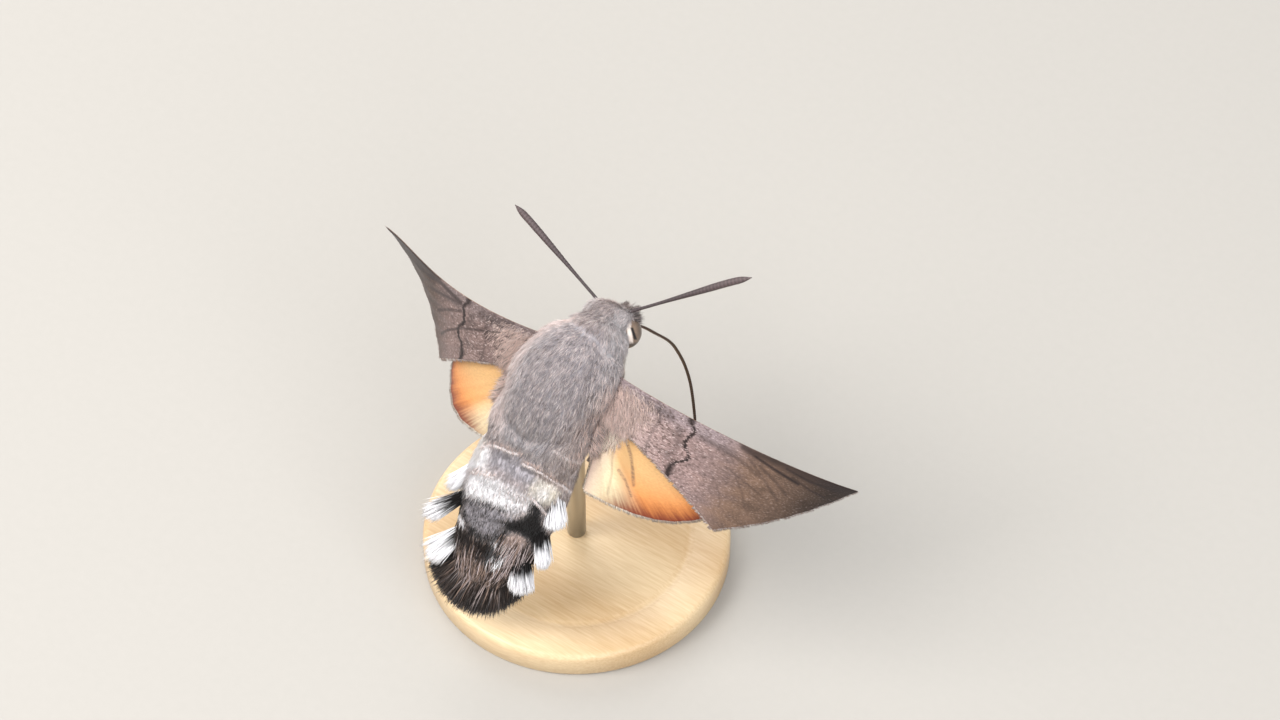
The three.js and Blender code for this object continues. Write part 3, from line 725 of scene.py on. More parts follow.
def abdomen_marks(distance: Array, turn_deg: Array, rng: Rng) -> Array:
    """Paint the abdomen's marks, with edges ragged from hair to hair.

    Args:
        distance: Millimetres along the trunk.
        turn_deg: Degrees about it.
        rng: Source of chance for the ragged edges.

    Returns:
        (n, 6) shares of each Mark.
    """
    s = distance + rng.normal(0.0, 0.1, distance.shape)
    turn = turn_deg + rng.normal(0.0, 2.0, distance.shape)
    below = np.clip(ramp(turn, 8.0, -14.0) + ramp(turn, 172.0, 194.0) + (turn < -60.0), 0.0, 1.0)
    marks = marked(distance.shape, brown=0.35 * ramp(turn, 75.0, 40.0))
    for area in ABDOMEN_MARKS:
        cover = area.cover(s, turn) * (rng.random(s.shape) < area.speckle)
        marks *= (1.0 - cover)[..., None]
        marks[..., area.mark] = np.maximum(marks[..., area.mark], cover)
    marks *= (1.0 - below)[..., None]
    marks[..., Mark.BROWN] = np.maximum(marks[..., Mark.BROWN], 0.45 * below)
    return marks


def thorax_marks(along: Array, turn_deg: Array, rng: Rng) -> Array:
    """Paint the thorax: grey above, pinker on its sides, pale below, with painted light on its left side
    and rear and painted shade at its front, where it meets the head.

    Args:
        along: 0 at the front to 1 at the rear.
        turn_deg: Degrees about it.
        rng: Source of chance.

    Returns:
        (n, 6) shares of each Mark.
    """
    turn = turn_deg + rng.normal(0.0, 5.0, along.shape)
    flank = 0.35 * band(turn, 0, 40, 14) * ramp(along, 0.35, 0.8)
    # Paler hair on the left side and at the rear is painted light; at the front right, below the eye, it is
    # paler hair.
    pale = np.maximum(np.maximum(ramp(turn, 112, 140), 0.5 * ramp(along, 0.6, 0.85)),
                      ramp(turn, 52, 30) * ramp(along, 0.4, 0.15))
    below = (turn < -18.0) | (turn > 198.0)
    return marked(along.shape,
                  grey=0.55 * band(turn, 52, 128, 26) * rng.random(along.shape),
                  # Brown at the very front is painted shade where the thorax meets the head.
                  brown=np.maximum(flank, 0.6 * ramp(along, 0.16, 0.04)),
                  pink=0.45 * band(turn, 138, 176, 12),
                  white=0.45 * rng.random(along.shape) * pale,
                  cream=0.55 * below * ramp(along, 0.8, 0.3))


def head_marks(along: Array, turn_deg: Array, rng: Rng) -> Array:
    """Paint the head: grey-brown above, pale below.

    Args:
        along: 0 at the front to 1 at the rear.
        turn_deg: Degrees about it.
        rng: Source of chance.

    Returns:
        (n, 6) shares of each Mark.
    """
    turn = turn_deg + rng.normal(0.0, 6.0, along.shape)
    below = (turn < -25.0) | (turn > 205.0)
    aside = ramp(np.abs(turn - 90), 18, 45)
    return marked(along.shape,
                  grey=0.3 * rng.random(along.shape),
                  white=np.maximum(0.7 * below, 0.5 * rng.random(along.shape) * aside),
                  brown=(~below) * (0.2 + 0.35 * ramp(along, 0.4, 0.1)))


# Hair


@dataclass
class Hairs:
    """Many hairs or hair-like scales, each one a small closed tapered solid."""

    root: Array
    normal: Array
    lie: Array
    length: Array
    width: Array
    marks: Array
    place: Array
    lift_deg: float | Array = 24.0
    lay_deg: float = 4.0
    lift_spread_deg: float = 7.0
    rings: tuple[float, ...] = (0.35,)
    thickness: float = 0.25
    sunk: float = 0.05
    clump: float = 0.2
    clump_pull: float = 0.3
    sway: float = 0.11
    tip_marks: Array | None = None
    change_at: float | Array = 0.5
    seed: int = 1

    def gathered(self, rng: Rng) -> tuple[Array, Array]:
        """Lean the hairs of each tuft together.

        Args:
            rng: Source of chance.

        Returns:
            New directions, and one random number for each hair's tuft.
        """
        count = len(self.root)
        centres = max(1, int(count * (np.median(self.width) / self.clump) ** 2))
        chosen = self.root[rng.choice(count, centres, replace=False)]
        owner = nearest(chosen, self.root)
        pull = (chosen[owner] - self.root) * (self.clump_pull / self.length)[:, None]
        leaning = self.lie + pull + 0.35 * self.sway * rng.normal(size=(count, 3))
        leaning = leaning + rng.normal(size=(centres, 3))[owner] * self.sway
        return flattened(leaning, self.normal), rng.random(centres)[owner]

    def build(self, name: str) -> Piece:
        """Make the mesh with its marks and its map.

        Args:
            name: Name of the piece.

        Returns:
            The mesh object.
        """
        rng = np.random.default_rng(self.seed)
        lie, tuft = self.gathered(rng)
        count = len(self.root)
        chance = rng.random(count)
        side = np.cross(self.normal, lie)
        lift = np.radians(self.lift_deg + rng.normal(0, self.lift_spread_deg, count) + 6 * (tuft - 0.5))
        lay = np.radians(self.lay_deg + rng.normal(0, self.lift_spread_deg, count))
        bend = rng.normal(0.0, self.sway, count)
        twist = rng.normal(0.0, 0.5, count)
        rows = []
        for f in (0.0, *self.rings, 1.0):
            angle = lift + (lay - lift) * f / 2
            centre = (self.root - self.normal * self.sunk
                      + lie * (self.length * f * np.cos(angle))[:, None]
                      + self.normal * (self.length * f * np.sin(angle))[:, None]
                      + side * (self.length * bend * f * f)[:, None])
            if f in (0.0, 1.0):
                rows.append(centre[:, None])
                continue
            half = self.width / 2 * (1.0 - f) ** 0.45 * min(1.0, 0.55 + 1.5 * f)
            c, s = np.cos(twist)[:, None], np.sin(twist)[:, None]
            flat = side * c + self.normal * s
            deep = self.normal * c - side * s
            rise = (half * self.thickness)[:, None] * deep
            wide = flat * half[:, None]
            rows.append(np.stack([centre + wide - rise, centre + 1.6 * rise, centre - wide - rise], axis=1))
        points = np.concatenate(rows, axis=1)
        each = points.shape[1]
        triangles = self.hair_triangles(len(self.rings))
        every = (triangles[None] + (np.arange(count) * each)[:, None, None]).reshape(-1, 3)
        piece = new_mesh(name, HANGING.to_world(points.reshape(-1, 3)), every)
        way = np.concatenate([[0.0], np.repeat(self.rings, 3), [1.0]])
        change_at = np.broadcast_to(self.change_at, (count,))[:, None]
        change = ramp(way[None], change_at - 0.1, change_at + 0.1)[..., None]
        marks = np.repeat(self.marks[:, None], each, axis=1)
        if self.tip_marks is not None:
            marks = marks * (1.0 - change) + self.tip_marks[:, None] * change
        strand = np.stack([np.repeat(chance, each), np.tile(way, count), np.repeat(tuft, each)], axis=-1)
        set_marks(piece, marks.reshape(-1, len(Mark)), strand)
        across = np.concatenate([[0.5], np.tile([1.0, 0.5, 0.0], len(self.rings)), [0.5]])
        patch = np.stack([across, way], axis=-1) * BAKE_PATCH
        places = np.clip(self.place, 0.0, 1.0 - BAKE_PATCH)[:, None] + patch[None]
        set_bake_map(piece, places.reshape(-1, 2))
        return piece

    @staticmethod
    def hair_triangles(rings: int) -> Array:
        """Number the corners of one hair's triangles.

        Args:
            rings: How many three-cornered rings lie between root and tip.

        Returns:
            (6 * rings, 3) corner numbers.
        """
        tip = 1 + 3 * rings
        faces = []
        for k in range(3):
            after = (k + 1) % 3
            faces.append((0, 1 + after, 1 + k))
            faces.append((tip, tip - 3 + k, tip - 3 + after))
            for ring in range(rings - 1):
                a, b = 1 + 3 * ring + k, 1 + 3 * ring + after
                faces += [(a, b, b + 3), (a, b + 3, a + 3)]
        return np.array(faces)


# Colours and materials


def linear(colour: str) -> tuple[float, float, float, float]:
    """Turn an sRGB hex colour into the linear values of a socket.

    Args:
        colour: Six hex digits after a hash.

    Returns:
        Red, green, blue and a full alpha.
    """
    values = [int(colour[k:k + 2], 16) / 255 for k in (1, 3, 5)]
    out = [v / 12.92 if v <= 0.04045 else ((v + 0.055) / 1.055) ** 2.4 for v in values]
    return (out[0], out[1], out[2], 1.0)


ALL = slice(None)
MULTIPLIED = {"operation": "MULTIPLY"}


class Kind(Enum):
    """Shader nodes in use: their type, the output that is read, and their settings."""

    BUMP = ("ShaderNodeBump", 0, {})
    CELLS = ("ShaderNodeTexVoronoi", "Distance", {})
    CLOUDS = ("ShaderNodeTexNoise", "Color", {})
    EASE = ("ShaderNodeMapRange", 0, {"interpolation_type": "SMOOTHSTEP"})
    JOIN = ("ShaderNodeCombineXYZ", 0, {})
    LESS = ("ShaderNodeMath", 0, {"operation": "SUBTRACT"})
    MIX = ("ShaderNodeMix", 2, {"data_type": "RGBA"})
    MOVE = ("ShaderNodeVectorMath", 0, {"operation": "ADD"})
    NOISE = ("ShaderNodeTexNoise", 0, {})
    PINGPONG = ("ShaderNodeMath", 0, {"operation": "PINGPONG"})
    PLACE = ("ShaderNodeTexCoord", "Object", {})
    PLUS = ("ShaderNodeMath", 0, {"operation": "ADD"})
    RANGE = ("ShaderNodeMapRange", 0, {})
    READ = ("ShaderNodeAttribute", "Vector", {})
    SCALE = ("ShaderNodeVectorMath", 0, MULTIPLIED)
    SHADES = ("ShaderNodeValToRGB", 0, {})
    SIZE = ("ShaderNodeMath", 0, {"operation": "ABSOLUTE"})
    SPLIT = ("ShaderNodeSeparateXYZ", ALL, {})
    TIMES = ("ShaderNodeMath", 0, MULTIPLIED)
    TIMES_PLUS = ("ShaderNodeMath", 0, {"operation": "MULTIPLY_ADD"})
    TINT = ("ShaderNodeMix", 2, {"data_type": "RGBA", "blend_type": "MULTIPLY"})
    TRACE = ("ShaderNodeFloatCurve", 0, {})
    WAVES = ("ShaderNodeTexWave", "Fac", {})


def feed(tree: Tree, node: Node, inputs: dict[Any, Any]) -> None:
    """Join sockets to a node's inputs and set the rest.

    Args:
        tree: Node tree of a material.
        node: Node in it.
        inputs: For each input, a socket to join, an sRGB hex colour or another value to set.
    """
    for key, value in inputs.items():
        if isinstance(value, bpy.types.NodeSocket):
            tree.links.new(value, node.inputs[key])
        else:
            node.inputs[key].default_value = linear(value) if isinstance(value, str) else value


def add(tree: Tree, kind: Kind, inputs: dict[Any, Any] | None = None, **settings: Any) -> Any:
    """Add a node with its settings and what feeds it.

    Args:
        tree: Node tree of a material.
        kind: Which node.
        inputs: What feeds its inputs.
        settings: More properties of the node itself.

    Returns:
        The output that is read.
    """
    name, output, own = kind.value
    node = tree.nodes.new(name)
    for key, value in {**own, **settings}.items():
        setattr(node, key, value)
    feed(tree, node, inputs or {})
    return node.outputs[output]


class Finish(ABC):
    """What a surface is made of, with the material that shows it."""

    name: str

    @abstractmethod
    def paint(self, tree: Tree, surface: Node) -> None:
        """Add the finish's nodes and feed the surface node."""

    def material(self) -> bpy.types.Material:
        """Give the one material of the finish.

        Returns:
            The material, made and painted at its first use.
        """
        if self.name in bpy.data.materials:
            return bpy.data.materials[self.name]
        made = bpy.data.materials.new(self.name)
        made.use_nodes = True
        self.paint(made.node_tree, made.node_tree.nodes["Principled BSDF"])
        return made


@dataclass(frozen=True)
class HairScales(Finish):
    """Chitin drawn out into hair and hair-like scales, grown, dry and matt.

    Light scatters between the hairs, so it is rough and barely glossy; each hair is painted darker towards
    its root, as painted shade where the hairs shade each other.
    """

    name: str = "chitin_hair_scales"
    strands: tuple[tuple[float, str], ...] = (
        (0.0, "#4d4441"), (0.18, "#82756f"), (0.4, "#a7a4a8"), (0.6, "#bfb2b1"), (0.8, "#e4d2cc"),
        (1.0, "#fbf2ee"),
    )
    white: str = "#fdfbfd"
    black: str = "#120d0c"
    cream: str = "#fbf2e0"
    grey: str = "#a5a0a6"
    brown: str = "#8f796d"
    pink: str = "#eccfc4"
    root_shade: float = 0.78
    fleck: float = 0.35
    is_skin: bool = False

    def paint(self, tree: Tree, surface: Node) -> None:
        """Mix the marks over the coat's own grey-brown.

        Args:
            tree: Node tree of the material.
            surface: Its principled surface.
        """
        strand = add(tree, Kind.READ, attribute_name="strand")
        chance, way, _ = add(tree, Kind.SPLIT, {0: strand})
        place = add(tree, Kind.PLACE)
        # Flecks of about 0.7 mm where the coat is a little darker or lighter.
        cloud = add(tree, Kind.NOISE, {"Vector": place, "Scale": 1 / (0.7 * MM), "Detail": 4.0})
        both = add(tree, Kind.PLUS, {0: chance, 1: cloud})
        lightness = add(tree, Kind.RANGE, {0: both, 1: 0.36, 2: 1.62})
        colour = add(tree, Kind.SHADES, {0: lightness})
        stops = colour.node.color_ramp.elements
        for stop, _ in self.strands[1:-1]:
            stops.new(stop)
        for element, (stop, shade) in zip(stops, self.strands):
            element.position, element.color = stop, linear(shade)
        first = add(tree, Kind.READ, attribute_name="marks_first")
        second = add(tree, Kind.READ, attribute_name="marks_second")
        white, black, cream = add(tree, Kind.SPLIT, {0: first})
        grey, brown, pink = add(tree, Kind.SPLIT, {0: second})
        layers = ((grey, self.grey), (brown, self.brown), (pink, self.pink), (cream, self.cream),
                  (white, self.white), (black, self.black))
        for share, shade in layers:
            # Each hair of a mark keeps a little of its own lightness.
            own = add(tree, Kind.RANGE, {0: both, 1: 0.2, 2: 1.8, 3: 1.0 - 0.35 * self.fleck, 4: 1.12})
            tone = add(tree, Kind.TINT, {0: 1.0, 6: shade, 7: own})
            colour = add(tree, Kind.MIX, {0: share, 6: colour, 7: tone})
        # Painted shade: each hair darker towards its root, down to root_shade.
        rise = add(tree, Kind.RANGE, {0: way, 1: 0.0, 2: 0.55, 3: self.root_shade, 4: 1.0})
        colour = add(tree, Kind.TINT, {0: 1.0, 6: colour, 7: rise})
        feed(tree, surface, {"Base Color": colour, "Roughness": 0.62, "Specular IOR Level": 0.2,
                             "Sheen Weight": 0.05, "Sheen Roughness": 0.4})
        if self.is_skin:
            # Hair bases of about 0.12 mm, so the skin reads as short nap where it shows.
            nap = add(tree, Kind.NOISE, {"Vector": place, "Scale": 1 / (0.12 * MM), "Detail": 2.0})
            bump = add(tree, Kind.BUMP, {"Height": nap, "Distance": 0.05 * MM, "Strength": 0.6})
            feed(tree, surface, {"Normal": bump})


@dataclass(frozen=True)
class WingScales(Finish):
    """Membrane of chitin under flat overlapping scales, grown, dusty and matt."""

    roughness: float = 0.72

    def scale_grain(self, tree: Tree, place: Any, across: float, along: float,
                    detail: float = 3.0) -> Any:
        """Lay a grain that is longer along the wing than across it."""
        scaled = add(tree, Kind.SCALE, {0: place, 1: (1 / along, 1 / across, 1.0)})
        return add(tree, Kind.NOISE, {"Vector": scaled, "Scale": 1.0, "Detail": detail})

    def dust(self, tree: Tree, place: Any, surface: Node) -> None:
        """Set the dull, slightly rough surface of rows of scales.

        Args:
            tree: Node tree of the material.
            place: Socket with span and chord in millimetres.
            surface: Its principled surface.
        """
        # Scales are about 0.1 mm wide; drawn 0.14 mm wide so that they show.
        cells = add(tree, Kind.SCALE, {0: place, 1: (1 / 0.22, 1 / 0.14, 1.0)})
        rows = add(tree, Kind.CELLS, {"Vector": cells, "Scale": 1.0})
        bump = add(tree, Kind.BUMP, {"Height": rows, "Distance": 0.03 * MM, "Strength": 0.6})
        feed(tree, surface, {"Normal": bump, "Roughness": self.roughness, "Specular IOR Level": 0.25,
                             "Sheen Weight": 0.1})


def line_mask(tree: Tree, span: Any, chord: Any, line: Sequence[tuple[float, float]],
              half_width: float, ragged: Any, soft: float = 0.12) -> Any:
    """Mask one line that crosses a wing from front to rear.

    Args:
        tree: Node tree of the material.
        span: Socket with millimetres from the wing's root.
        chord: Socket with millimetres behind the front edge.
        line: Chord and span of the points that the line passes.
        half_width: Half its width in millimetres.
        ragged: Socket with noise from 0 to 1 that frays its edges.
        soft: Width of its edges in millimetres.

    Returns:
        Socket with 1 on the line and 0 beside it.
    """
    chords = [c for c, _ in line]
    spans = [s for _, s in line]
    low, high = min(spans) - 1.0, max(spans) + 1.0
    place = add(tree, Kind.RANGE, {0: chord, 1: chords[0], 2: chords[-1]})
    middle = add(tree, Kind.TRACE, {"Value": place})
    points = middle.node.mapping.curves[0].points
    for index, (c, s) in enumerate(line):
        x = (c - chords[0]) / (chords[-1] - chords[0])
        y = (s - low) / (high - low)
        if index in (0, len(line) - 1):
            points[0 if index == 0 else len(points) - 1].location = (x, y)
        else:
            points.new(x, y)
    middle.node.mapping.update()
    at = add(tree, Kind.RANGE, {0: middle, 3: low, 4: high})
    away = add(tree, Kind.LESS, {0: span, 1: at})
    away = add(tree, Kind.SIZE, {0: away})
    fray = add(tree, Kind.RANGE, {0: ragged, 1: 0.3, 2: 0.7, 3: -0.16, 4: 0.16})
    away = add(tree, Kind.PLUS, {0: away, 1: fray})
    return add(tree, Kind.RANGE, {0: away, 1: half_width + soft, 2: half_width - soft * 0.5})


@dataclass(frozen=True)
class ForewingScales(WingScales):
    """Grey-brown forewing with its dark cross lines, brown below with an orange base."""

    name: str = "forewing_scales"
    base: str = "#a28d88"
    middle: str = "#8c7571"
    outer: str = "#6c5445"
    apex: str = "#261a12"
    costal: str = "#8c7c7d"
    line: str = "#261a18"
    speck: str = "#56443f"
    frost: str = "#c1b3b0"
    under: str = "#a5714a"
    under_outer: str = "#7b6355"
    antemedial: Line = (
        (-0.5, 6.8), (0.3, 6.85), (0.95, 7.4), (1.6, 7.15), (2.15, 7.05), (2.8, 7.6), (3.2, 7.8),
        (3.7, 7.4), (4.2, 6.85), (4.8, 6.65), (5.6, 6.9),
    )
    basal: Line = ((-0.5, 3.7), (0.3, 3.95), (1.3, 4.25), (2.4, 4.1))

    def paint(self, tree: Tree, surface: Node) -> None:
        """Draw ground colour, specks, lines and streaks from span and chord.

        Args:
            tree: Node tree of the material.
            surface: Its principled surface.
        """
        place = add(tree, Kind.READ, attribute_name="wing_place")
        span, chord, _ = add(tree, Kind.SPLIT, {0: place})
        facts = add(tree, Kind.READ, attribute_name="wing_facts")
        _, face, dark = add(tree, Kind.SPLIT, {0: facts})
        fine = self.scale_grain(tree, place, 0.1, 0.24, 4.0)
        sparse = self.scale_grain(tree, place, 0.16, 0.34, 3.0)
        broad = self.scale_grain(tree, place, 0.9, 2.2, 3.0)
        uneven = add(tree, Kind.TIMES_PLUS, {0: broad, 1: 5.0, 2: -2.5})
        along = add(tree, Kind.PLUS, {0: span, 1: uneven})
        colour = self.base
        for start, end, shade in ((1.5, 6.5, self.middle), (8.0, 14.0, self.outer),
                                  (14.5, 21.5, self.apex)):
            reach = add(tree, Kind.EASE, {0: along, 1: start, 2: end})
            colour = add(tree, Kind.MIX, {0: reach, 6: colour, 7: shade})
        # Paler, greyer band behind the front edge, out to the dark mark of the edge.
        front = add(tree, Kind.RANGE, {0: chord, 1: 1.7, 2: 0.7})
        inner = add(tree, Kind.RANGE, {0: span, 1: 12.5, 2: 9.0})
        pale = add(tree, Kind.TIMES, {0: front, 1: inner})
        colour = add(tree, Kind.MIX, {0: pale, 6: colour, 7: self.costal})
        # Single darker and paler scales; both fade towards the tip.
        for grain, low, high, strength, shade in ((sparse, 0.51, 0.63, 0.85, self.speck),
                                                  (fine, 0.58, 0.7, 0.6, self.frost)):
            near = add(tree, Kind.RANGE, {0: span, 1: 6.0, 2: 13.0, 3: strength, 4: strength * 0.22})
            spots = add(tree, Kind.RANGE, {0: grain, 1: low, 2: high})
            spots = add(tree, Kind.TIMES, {0: spots, 1: near})
            colour = add(tree, Kind.MIX, {0: spots, 6: colour, 7: shade})
        for path, half, strength in ((self.antemedial, 0.12, 0.97), (self.basal, 0.12, 0.35)):
            mask = line_mask(tree, span, chord, path, half, fine)
            mask = add(tree, Kind.TIMES, {0: mask, 1: strength})
            colour = add(tree, Kind.MIX, {0: mask, 6: colour, 7: self.line})
        # Dark streaks of the pattern; on the left wing they also hold painted shade along its creases.
        frayed = add(tree, Kind.RANGE, {0: fine, 1: 0.3, 2: 0.6, 3: 0.72, 4: 1.0})
        streak = add(tree, Kind.TIMES, {0: dark, 1: frayed})
        colour = add(tree, Kind.MIX, {0: streak, 6: colour, 7: self.line})
        reach = add(tree, Kind.RANGE, {0: along, 1: 5.0, 2: 13.0})
        under = add(tree, Kind.MIX, {0: reach, 6: self.under, 7: self.under_outer})
        colour = add(tree, Kind.MIX, {0: face, 6: under, 7: colour})
        mottle = add(tree, Kind.PLUS, {0: fine, 1: broad})
        grain = add(tree, Kind.RANGE, {0: mottle, 1: 0.7, 2: 1.3, 3: 0.56, 4: 1.3})
        colour = add(tree, Kind.TINT, {0: 1.0, 6: colour, 7: grain})
        feed(tree, surface, {"Base Color": colour})
        self.dust(tree, place, surface)


@dataclass(frozen=True)
class HindwingScales(WingScales):
    """Orange hindwing, cream beside the body and dark along its margin, with painted shade along its folds.
    """

    name: str = "hindwing_scales"
    base: str = "#b39c8e"
    cream: str = "#d2c29e"
    yellow: str = "#c39b69"
    orange: str = "#c97f43"
    margin: str = "#682714"
    fold_shade: str = "#54433a"

    def paint(self, tree: Tree, surface: Node) -> None:
        """Draw the colour field by the distance from the margin and from the body.

        Args:
            tree: Node tree of the material.
            surface: Its principled surface.
        """
        place = add(tree, Kind.READ, attribute_name="wing_place")
        span, _, across = add(tree, Kind.SPLIT, {0: place})
        facts = add(tree, Kind.READ, attribute_name="wing_facts")
        edge, _, dark = add(tree, Kind.SPLIT, {0: facts})
        fine = self.scale_grain(tree, place, 0.1, 0.3, 4.0)
        # Rays about 0.25 mm wide that run in from the margin.
        ray_place = add(tree, Kind.JOIN, {0: across, 1: edge})
        ray_place = add(tree, Kind.SCALE, {0: ray_place, 1: (38.0, 0.35, 1.0)})
        rays = add(tree, Kind.NOISE, {"Vector": ray_place, "Scale": 1.0, "Detail": 2.0})
        fray = add(tree, Kind.RANGE, {0: rays, 1: 0.3, 2: 0.7, 3: -0.28, 4: 0.28})
        inside = add(tree, Kind.PLUS, {0: edge, 1: fray})
        deep = add(tree, Kind.EASE, {0: edge, 1: 4.2, 2: 0.6})
        colour = add(tree, Kind.MIX, {0: deep, 6: self.yellow, 7: self.orange})
        near_body = add(tree, Kind.EASE, {0: across, 1: 0.5, 2: 0.8})
        colour = add(tree, Kind.MIX, {0: near_body, 6: colour, 7: self.cream})
        away = add(tree, Kind.RANGE, {0: across, 1: 0.94, 2: 0.7})
        for start, end, strength in ((2.0, 0.15, 0.68), (0.8, -0.15, 0.95)):
            rim = add(tree, Kind.EASE, {0: inside, 1: start, 2: end, 4: strength})
            rim = add(tree, Kind.TIMES, {0: rim, 1: away})
            colour = add(tree, Kind.MIX, {0: rim, 6: colour, 7: self.margin})
        root = add(tree, Kind.RANGE, {0: span, 1: 1.6, 2: -0.6})
        colour = add(tree, Kind.MIX, {0: root, 6: colour, 7: self.base})
        # Painted shade along the folds of the right wing.
        frayed = add(tree, Kind.RANGE, {0: fine, 1: 0.35, 2: 0.6, 3: 0.35, 4: 1.0})
        painted_fold_shade = add(tree, Kind.TIMES, {0: dark, 1: frayed})
        colour = add(tree, Kind.MIX, {0: painted_fold_shade, 6: colour, 7: self.fold_shade})
        grain = add(tree, Kind.RANGE, {0: fine, 1: 0.25, 2: 0.75, 3: 0.88, 4: 1.1})
        colour = add(tree, Kind.TINT, {0: 1.0, 6: colour, 7: grain})
        feed(tree, surface, {"Base Color": colour})
        self.dust(tree, place, surface)


@dataclass(frozen=True)
class EyeFacets(Finish):
    """Compound eye: clear chitin lenses, grown smooth, over dark pigment with a pale band."""

    name: str = "eye_facets"
    ground: str = "#7c6858"
    dark: str = "#120c0b"
    pale: str = "#e4d6cb"

    def paint(self, tree: Tree, surface: Node) -> None:
        """Draw painted shade on the forward and lower facets, the dark slit, the pale rim and the fine
        facets.

        Args:
            tree: Node tree of the material.
            surface: Its principled surface.
        """
        marks = add(tree, Kind.READ, attribute_name="eye_place")
        shade, slit, rim = add(tree, Kind.SPLIT, {0: marks})
        place = add(tree, Kind.PLACE)
        cloud = add(tree, Kind.NOISE, {"Vector": place, "Scale": 1 / (0.5 * MM), "Detail": 3.0})
        tone = add(tree, Kind.RANGE, {0: cloud, 1: 0.3, 2: 0.7, 3: 0.75, 4: 1.2})
        colour = add(tree, Kind.TINT, {0: 1.0, 6: self.ground, 7: tone})
        # Painted shade: the facets that face forward and down are mixed towards the dark colour.
        colour = add(tree, Kind.MIX, {0: shade, 6: colour, 7: self.dark})
        colour = add(tree, Kind.MIX, {0: rim, 6: colour, 7: self.pale})
        colour = add(tree, Kind.MIX, {0: slit, 6: colour, 7: self.dark})
        # Facets are about 0.03 mm; drawn 0.06 mm so that they show.
        facets = add(tree, Kind.CELLS, {"Vector": place, "Scale": 1 / (0.06 * MM)})
        bump = add(tree, Kind.BUMP, {"Height": facets, "Distance": 0.01 * MM, "Strength": 0.5})
        feed(tree, surface, {"Base Color": colour, "Normal": bump, "Roughness": 0.28, "Coat Weight": 0.1,
                             "Coat Roughness": 0.15})


@dataclass(frozen=True)
class Chitin(Finish):
    """Bare horny chitin under fine scales, grown in rings."""

    name: str = "ringed_chitin"
    light: str = "#564848"
    dark: str = "#332a2c"
    ring: float = 0.16
    roughness: float = 0.5

    def paint(self, tree: Tree, surface: Node) -> None:
        """Shade the rings and the fine scales on them.

        Args:
            tree: Node tree of the material.
            surface: Its principled surface.
        """
        run = add(tree, Kind.READ, attribute_name="run")
        along, share, _ = add(tree, Kind.SPLIT, {0: run})
        turns = add(tree, Kind.TIMES, {0: along, 1: 1 / self.ring})
        ring = add(tree, Kind.PINGPONG, {0: turns, 1: 1.0})
        place = add(tree, Kind.PLACE)
        speck = add(tree, Kind.NOISE, {"Vector": place, "Scale": 1 / (0.12 * MM), "Detail": 3.0})
        both = add(tree, Kind.TIMES, {0: ring, 1: speck})
        tone = add(tree, Kind.RANGE, {0: both, 1: 0.1, 2: 0.6})
        paler = add(tree, Kind.MIX, {0: share, 6: self.dark, 7: self.light})
        shade = add(tree, Kind.RANGE, {0: tone, 3: 0.7, 4: 1.25})
        colour = add(tree, Kind.TINT, {0: 1.0, 6: paler, 7: shade})
        bump = add(tree, Kind.BUMP, {"Height": tone, "Distance": 0.03 * MM, "Strength": 0.7})
        feed(tree, surface, {"Base Color": colour, "Normal": bump, "Roughness": self.roughness,
                             "Specular IOR Level": 0.4})


@dataclass(frozen=True)
class TurnedBeech(Finish):
    """Beech turned on a lathe and waxed: pale, close grained, satin."""

    name: str = "turned_beech"
    light: str = "#dcc39c"
    dark: str = "#bf9d72"

    def paint(self, tree: Tree, surface: Node) -> None:
        """Draw the growth rings and the short flecks of beech.

        Args:
            tree: Node tree of the material.
            surface: Its principled surface.
        """
        place = add(tree, Kind.PLACE)
        bent = add(tree, Kind.CLOUDS, {"Vector": place, "Scale": 1 / (14 * MM), "Detail": 2.0})
        bent = add(tree, Kind.SCALE, {0: bent, 1: (3 * MM, 3 * MM, 3 * MM)})
        moved = add(tree, Kind.MOVE, {0: place, 1: bent})
        # Growth rings about 1.6 mm apart across the grain, which runs along x.
        rings = add(tree, Kind.WAVES, {"Vector": moved, "Scale": 1 / (20 * 1.6 * MM), "Distortion": 1.2,
                                       "Detail": 2.0}, bands_direction="Y")
        # Flecks 2.2 mm long and 0.16 mm wide.
        across = 1 / (0.16 * MM)
        grain_place = add(tree, Kind.SCALE, {0: place, 1: (1 / (2.2 * MM), across, across)})
        fleck = add(tree, Kind.NOISE, {"Vector": grain_place, "Scale": 1.0, "Detail": 3.0})
        both = add(tree, Kind.TIMES_PLUS, {0: rings, 1: 0.45, 2: 0.0})
        both = add(tree, Kind.PLUS, {0: fleck, 1: both})
        tone = add(tree, Kind.RANGE, {0: both, 1: 0.3, 2: 1.1})
        colour = add(tree, Kind.MIX, {0: tone, 6: self.light, 7: self.dark})
        bump = add(tree, Kind.BUMP, {"Height": fleck, "Distance": 0.02 * MM, "Strength": 0.4})
        feed(tree, surface, {"Base Color": colour, "Normal": bump, "Roughness": 0.45, "Coat Weight": 0.15,
                             "Coat Roughness": 0.3})


@dataclass(frozen=True)
class BrushedSteel(Finish):
    """Stainless steel rod, drawn and brushed lengthways."""

    name: str = "brushed_stainless_steel"
    colour: str = "#b9b6b0"

    def paint(self, tree: Tree, surface: Node) -> None:
        """Vary the roughness along the brush marks.

        Args:
            tree: Node tree of the material.
            surface: Its principled surface.
        """
        place = add(tree, Kind.PLACE)
        # Brush marks about 0.05 mm wide and many millimetres long, up the rod.
        marks = add(tree, Kind.SCALE, {0: place, 1: (1 / (0.05 * MM), 1 / (0.05 * MM), 1 / (6 * MM))})
        brush = add(tree, Kind.NOISE, {"Vector": marks, "Scale": 1.0, "Detail": 2.0})
        rough = add(tree, Kind.RANGE, {0: brush, 3: 0.22, 4: 0.42})
        tone = add(tree, Kind.RANGE, {0: brush, 3: 0.85, 4: 1.1})
        colour = add(tree, Kind.TINT, {0: 1.0, 6: self.colour, 7: tone})
        feed(tree, surface, {"Base Color": colour, "Roughness": rough, "Metallic": 1.0})


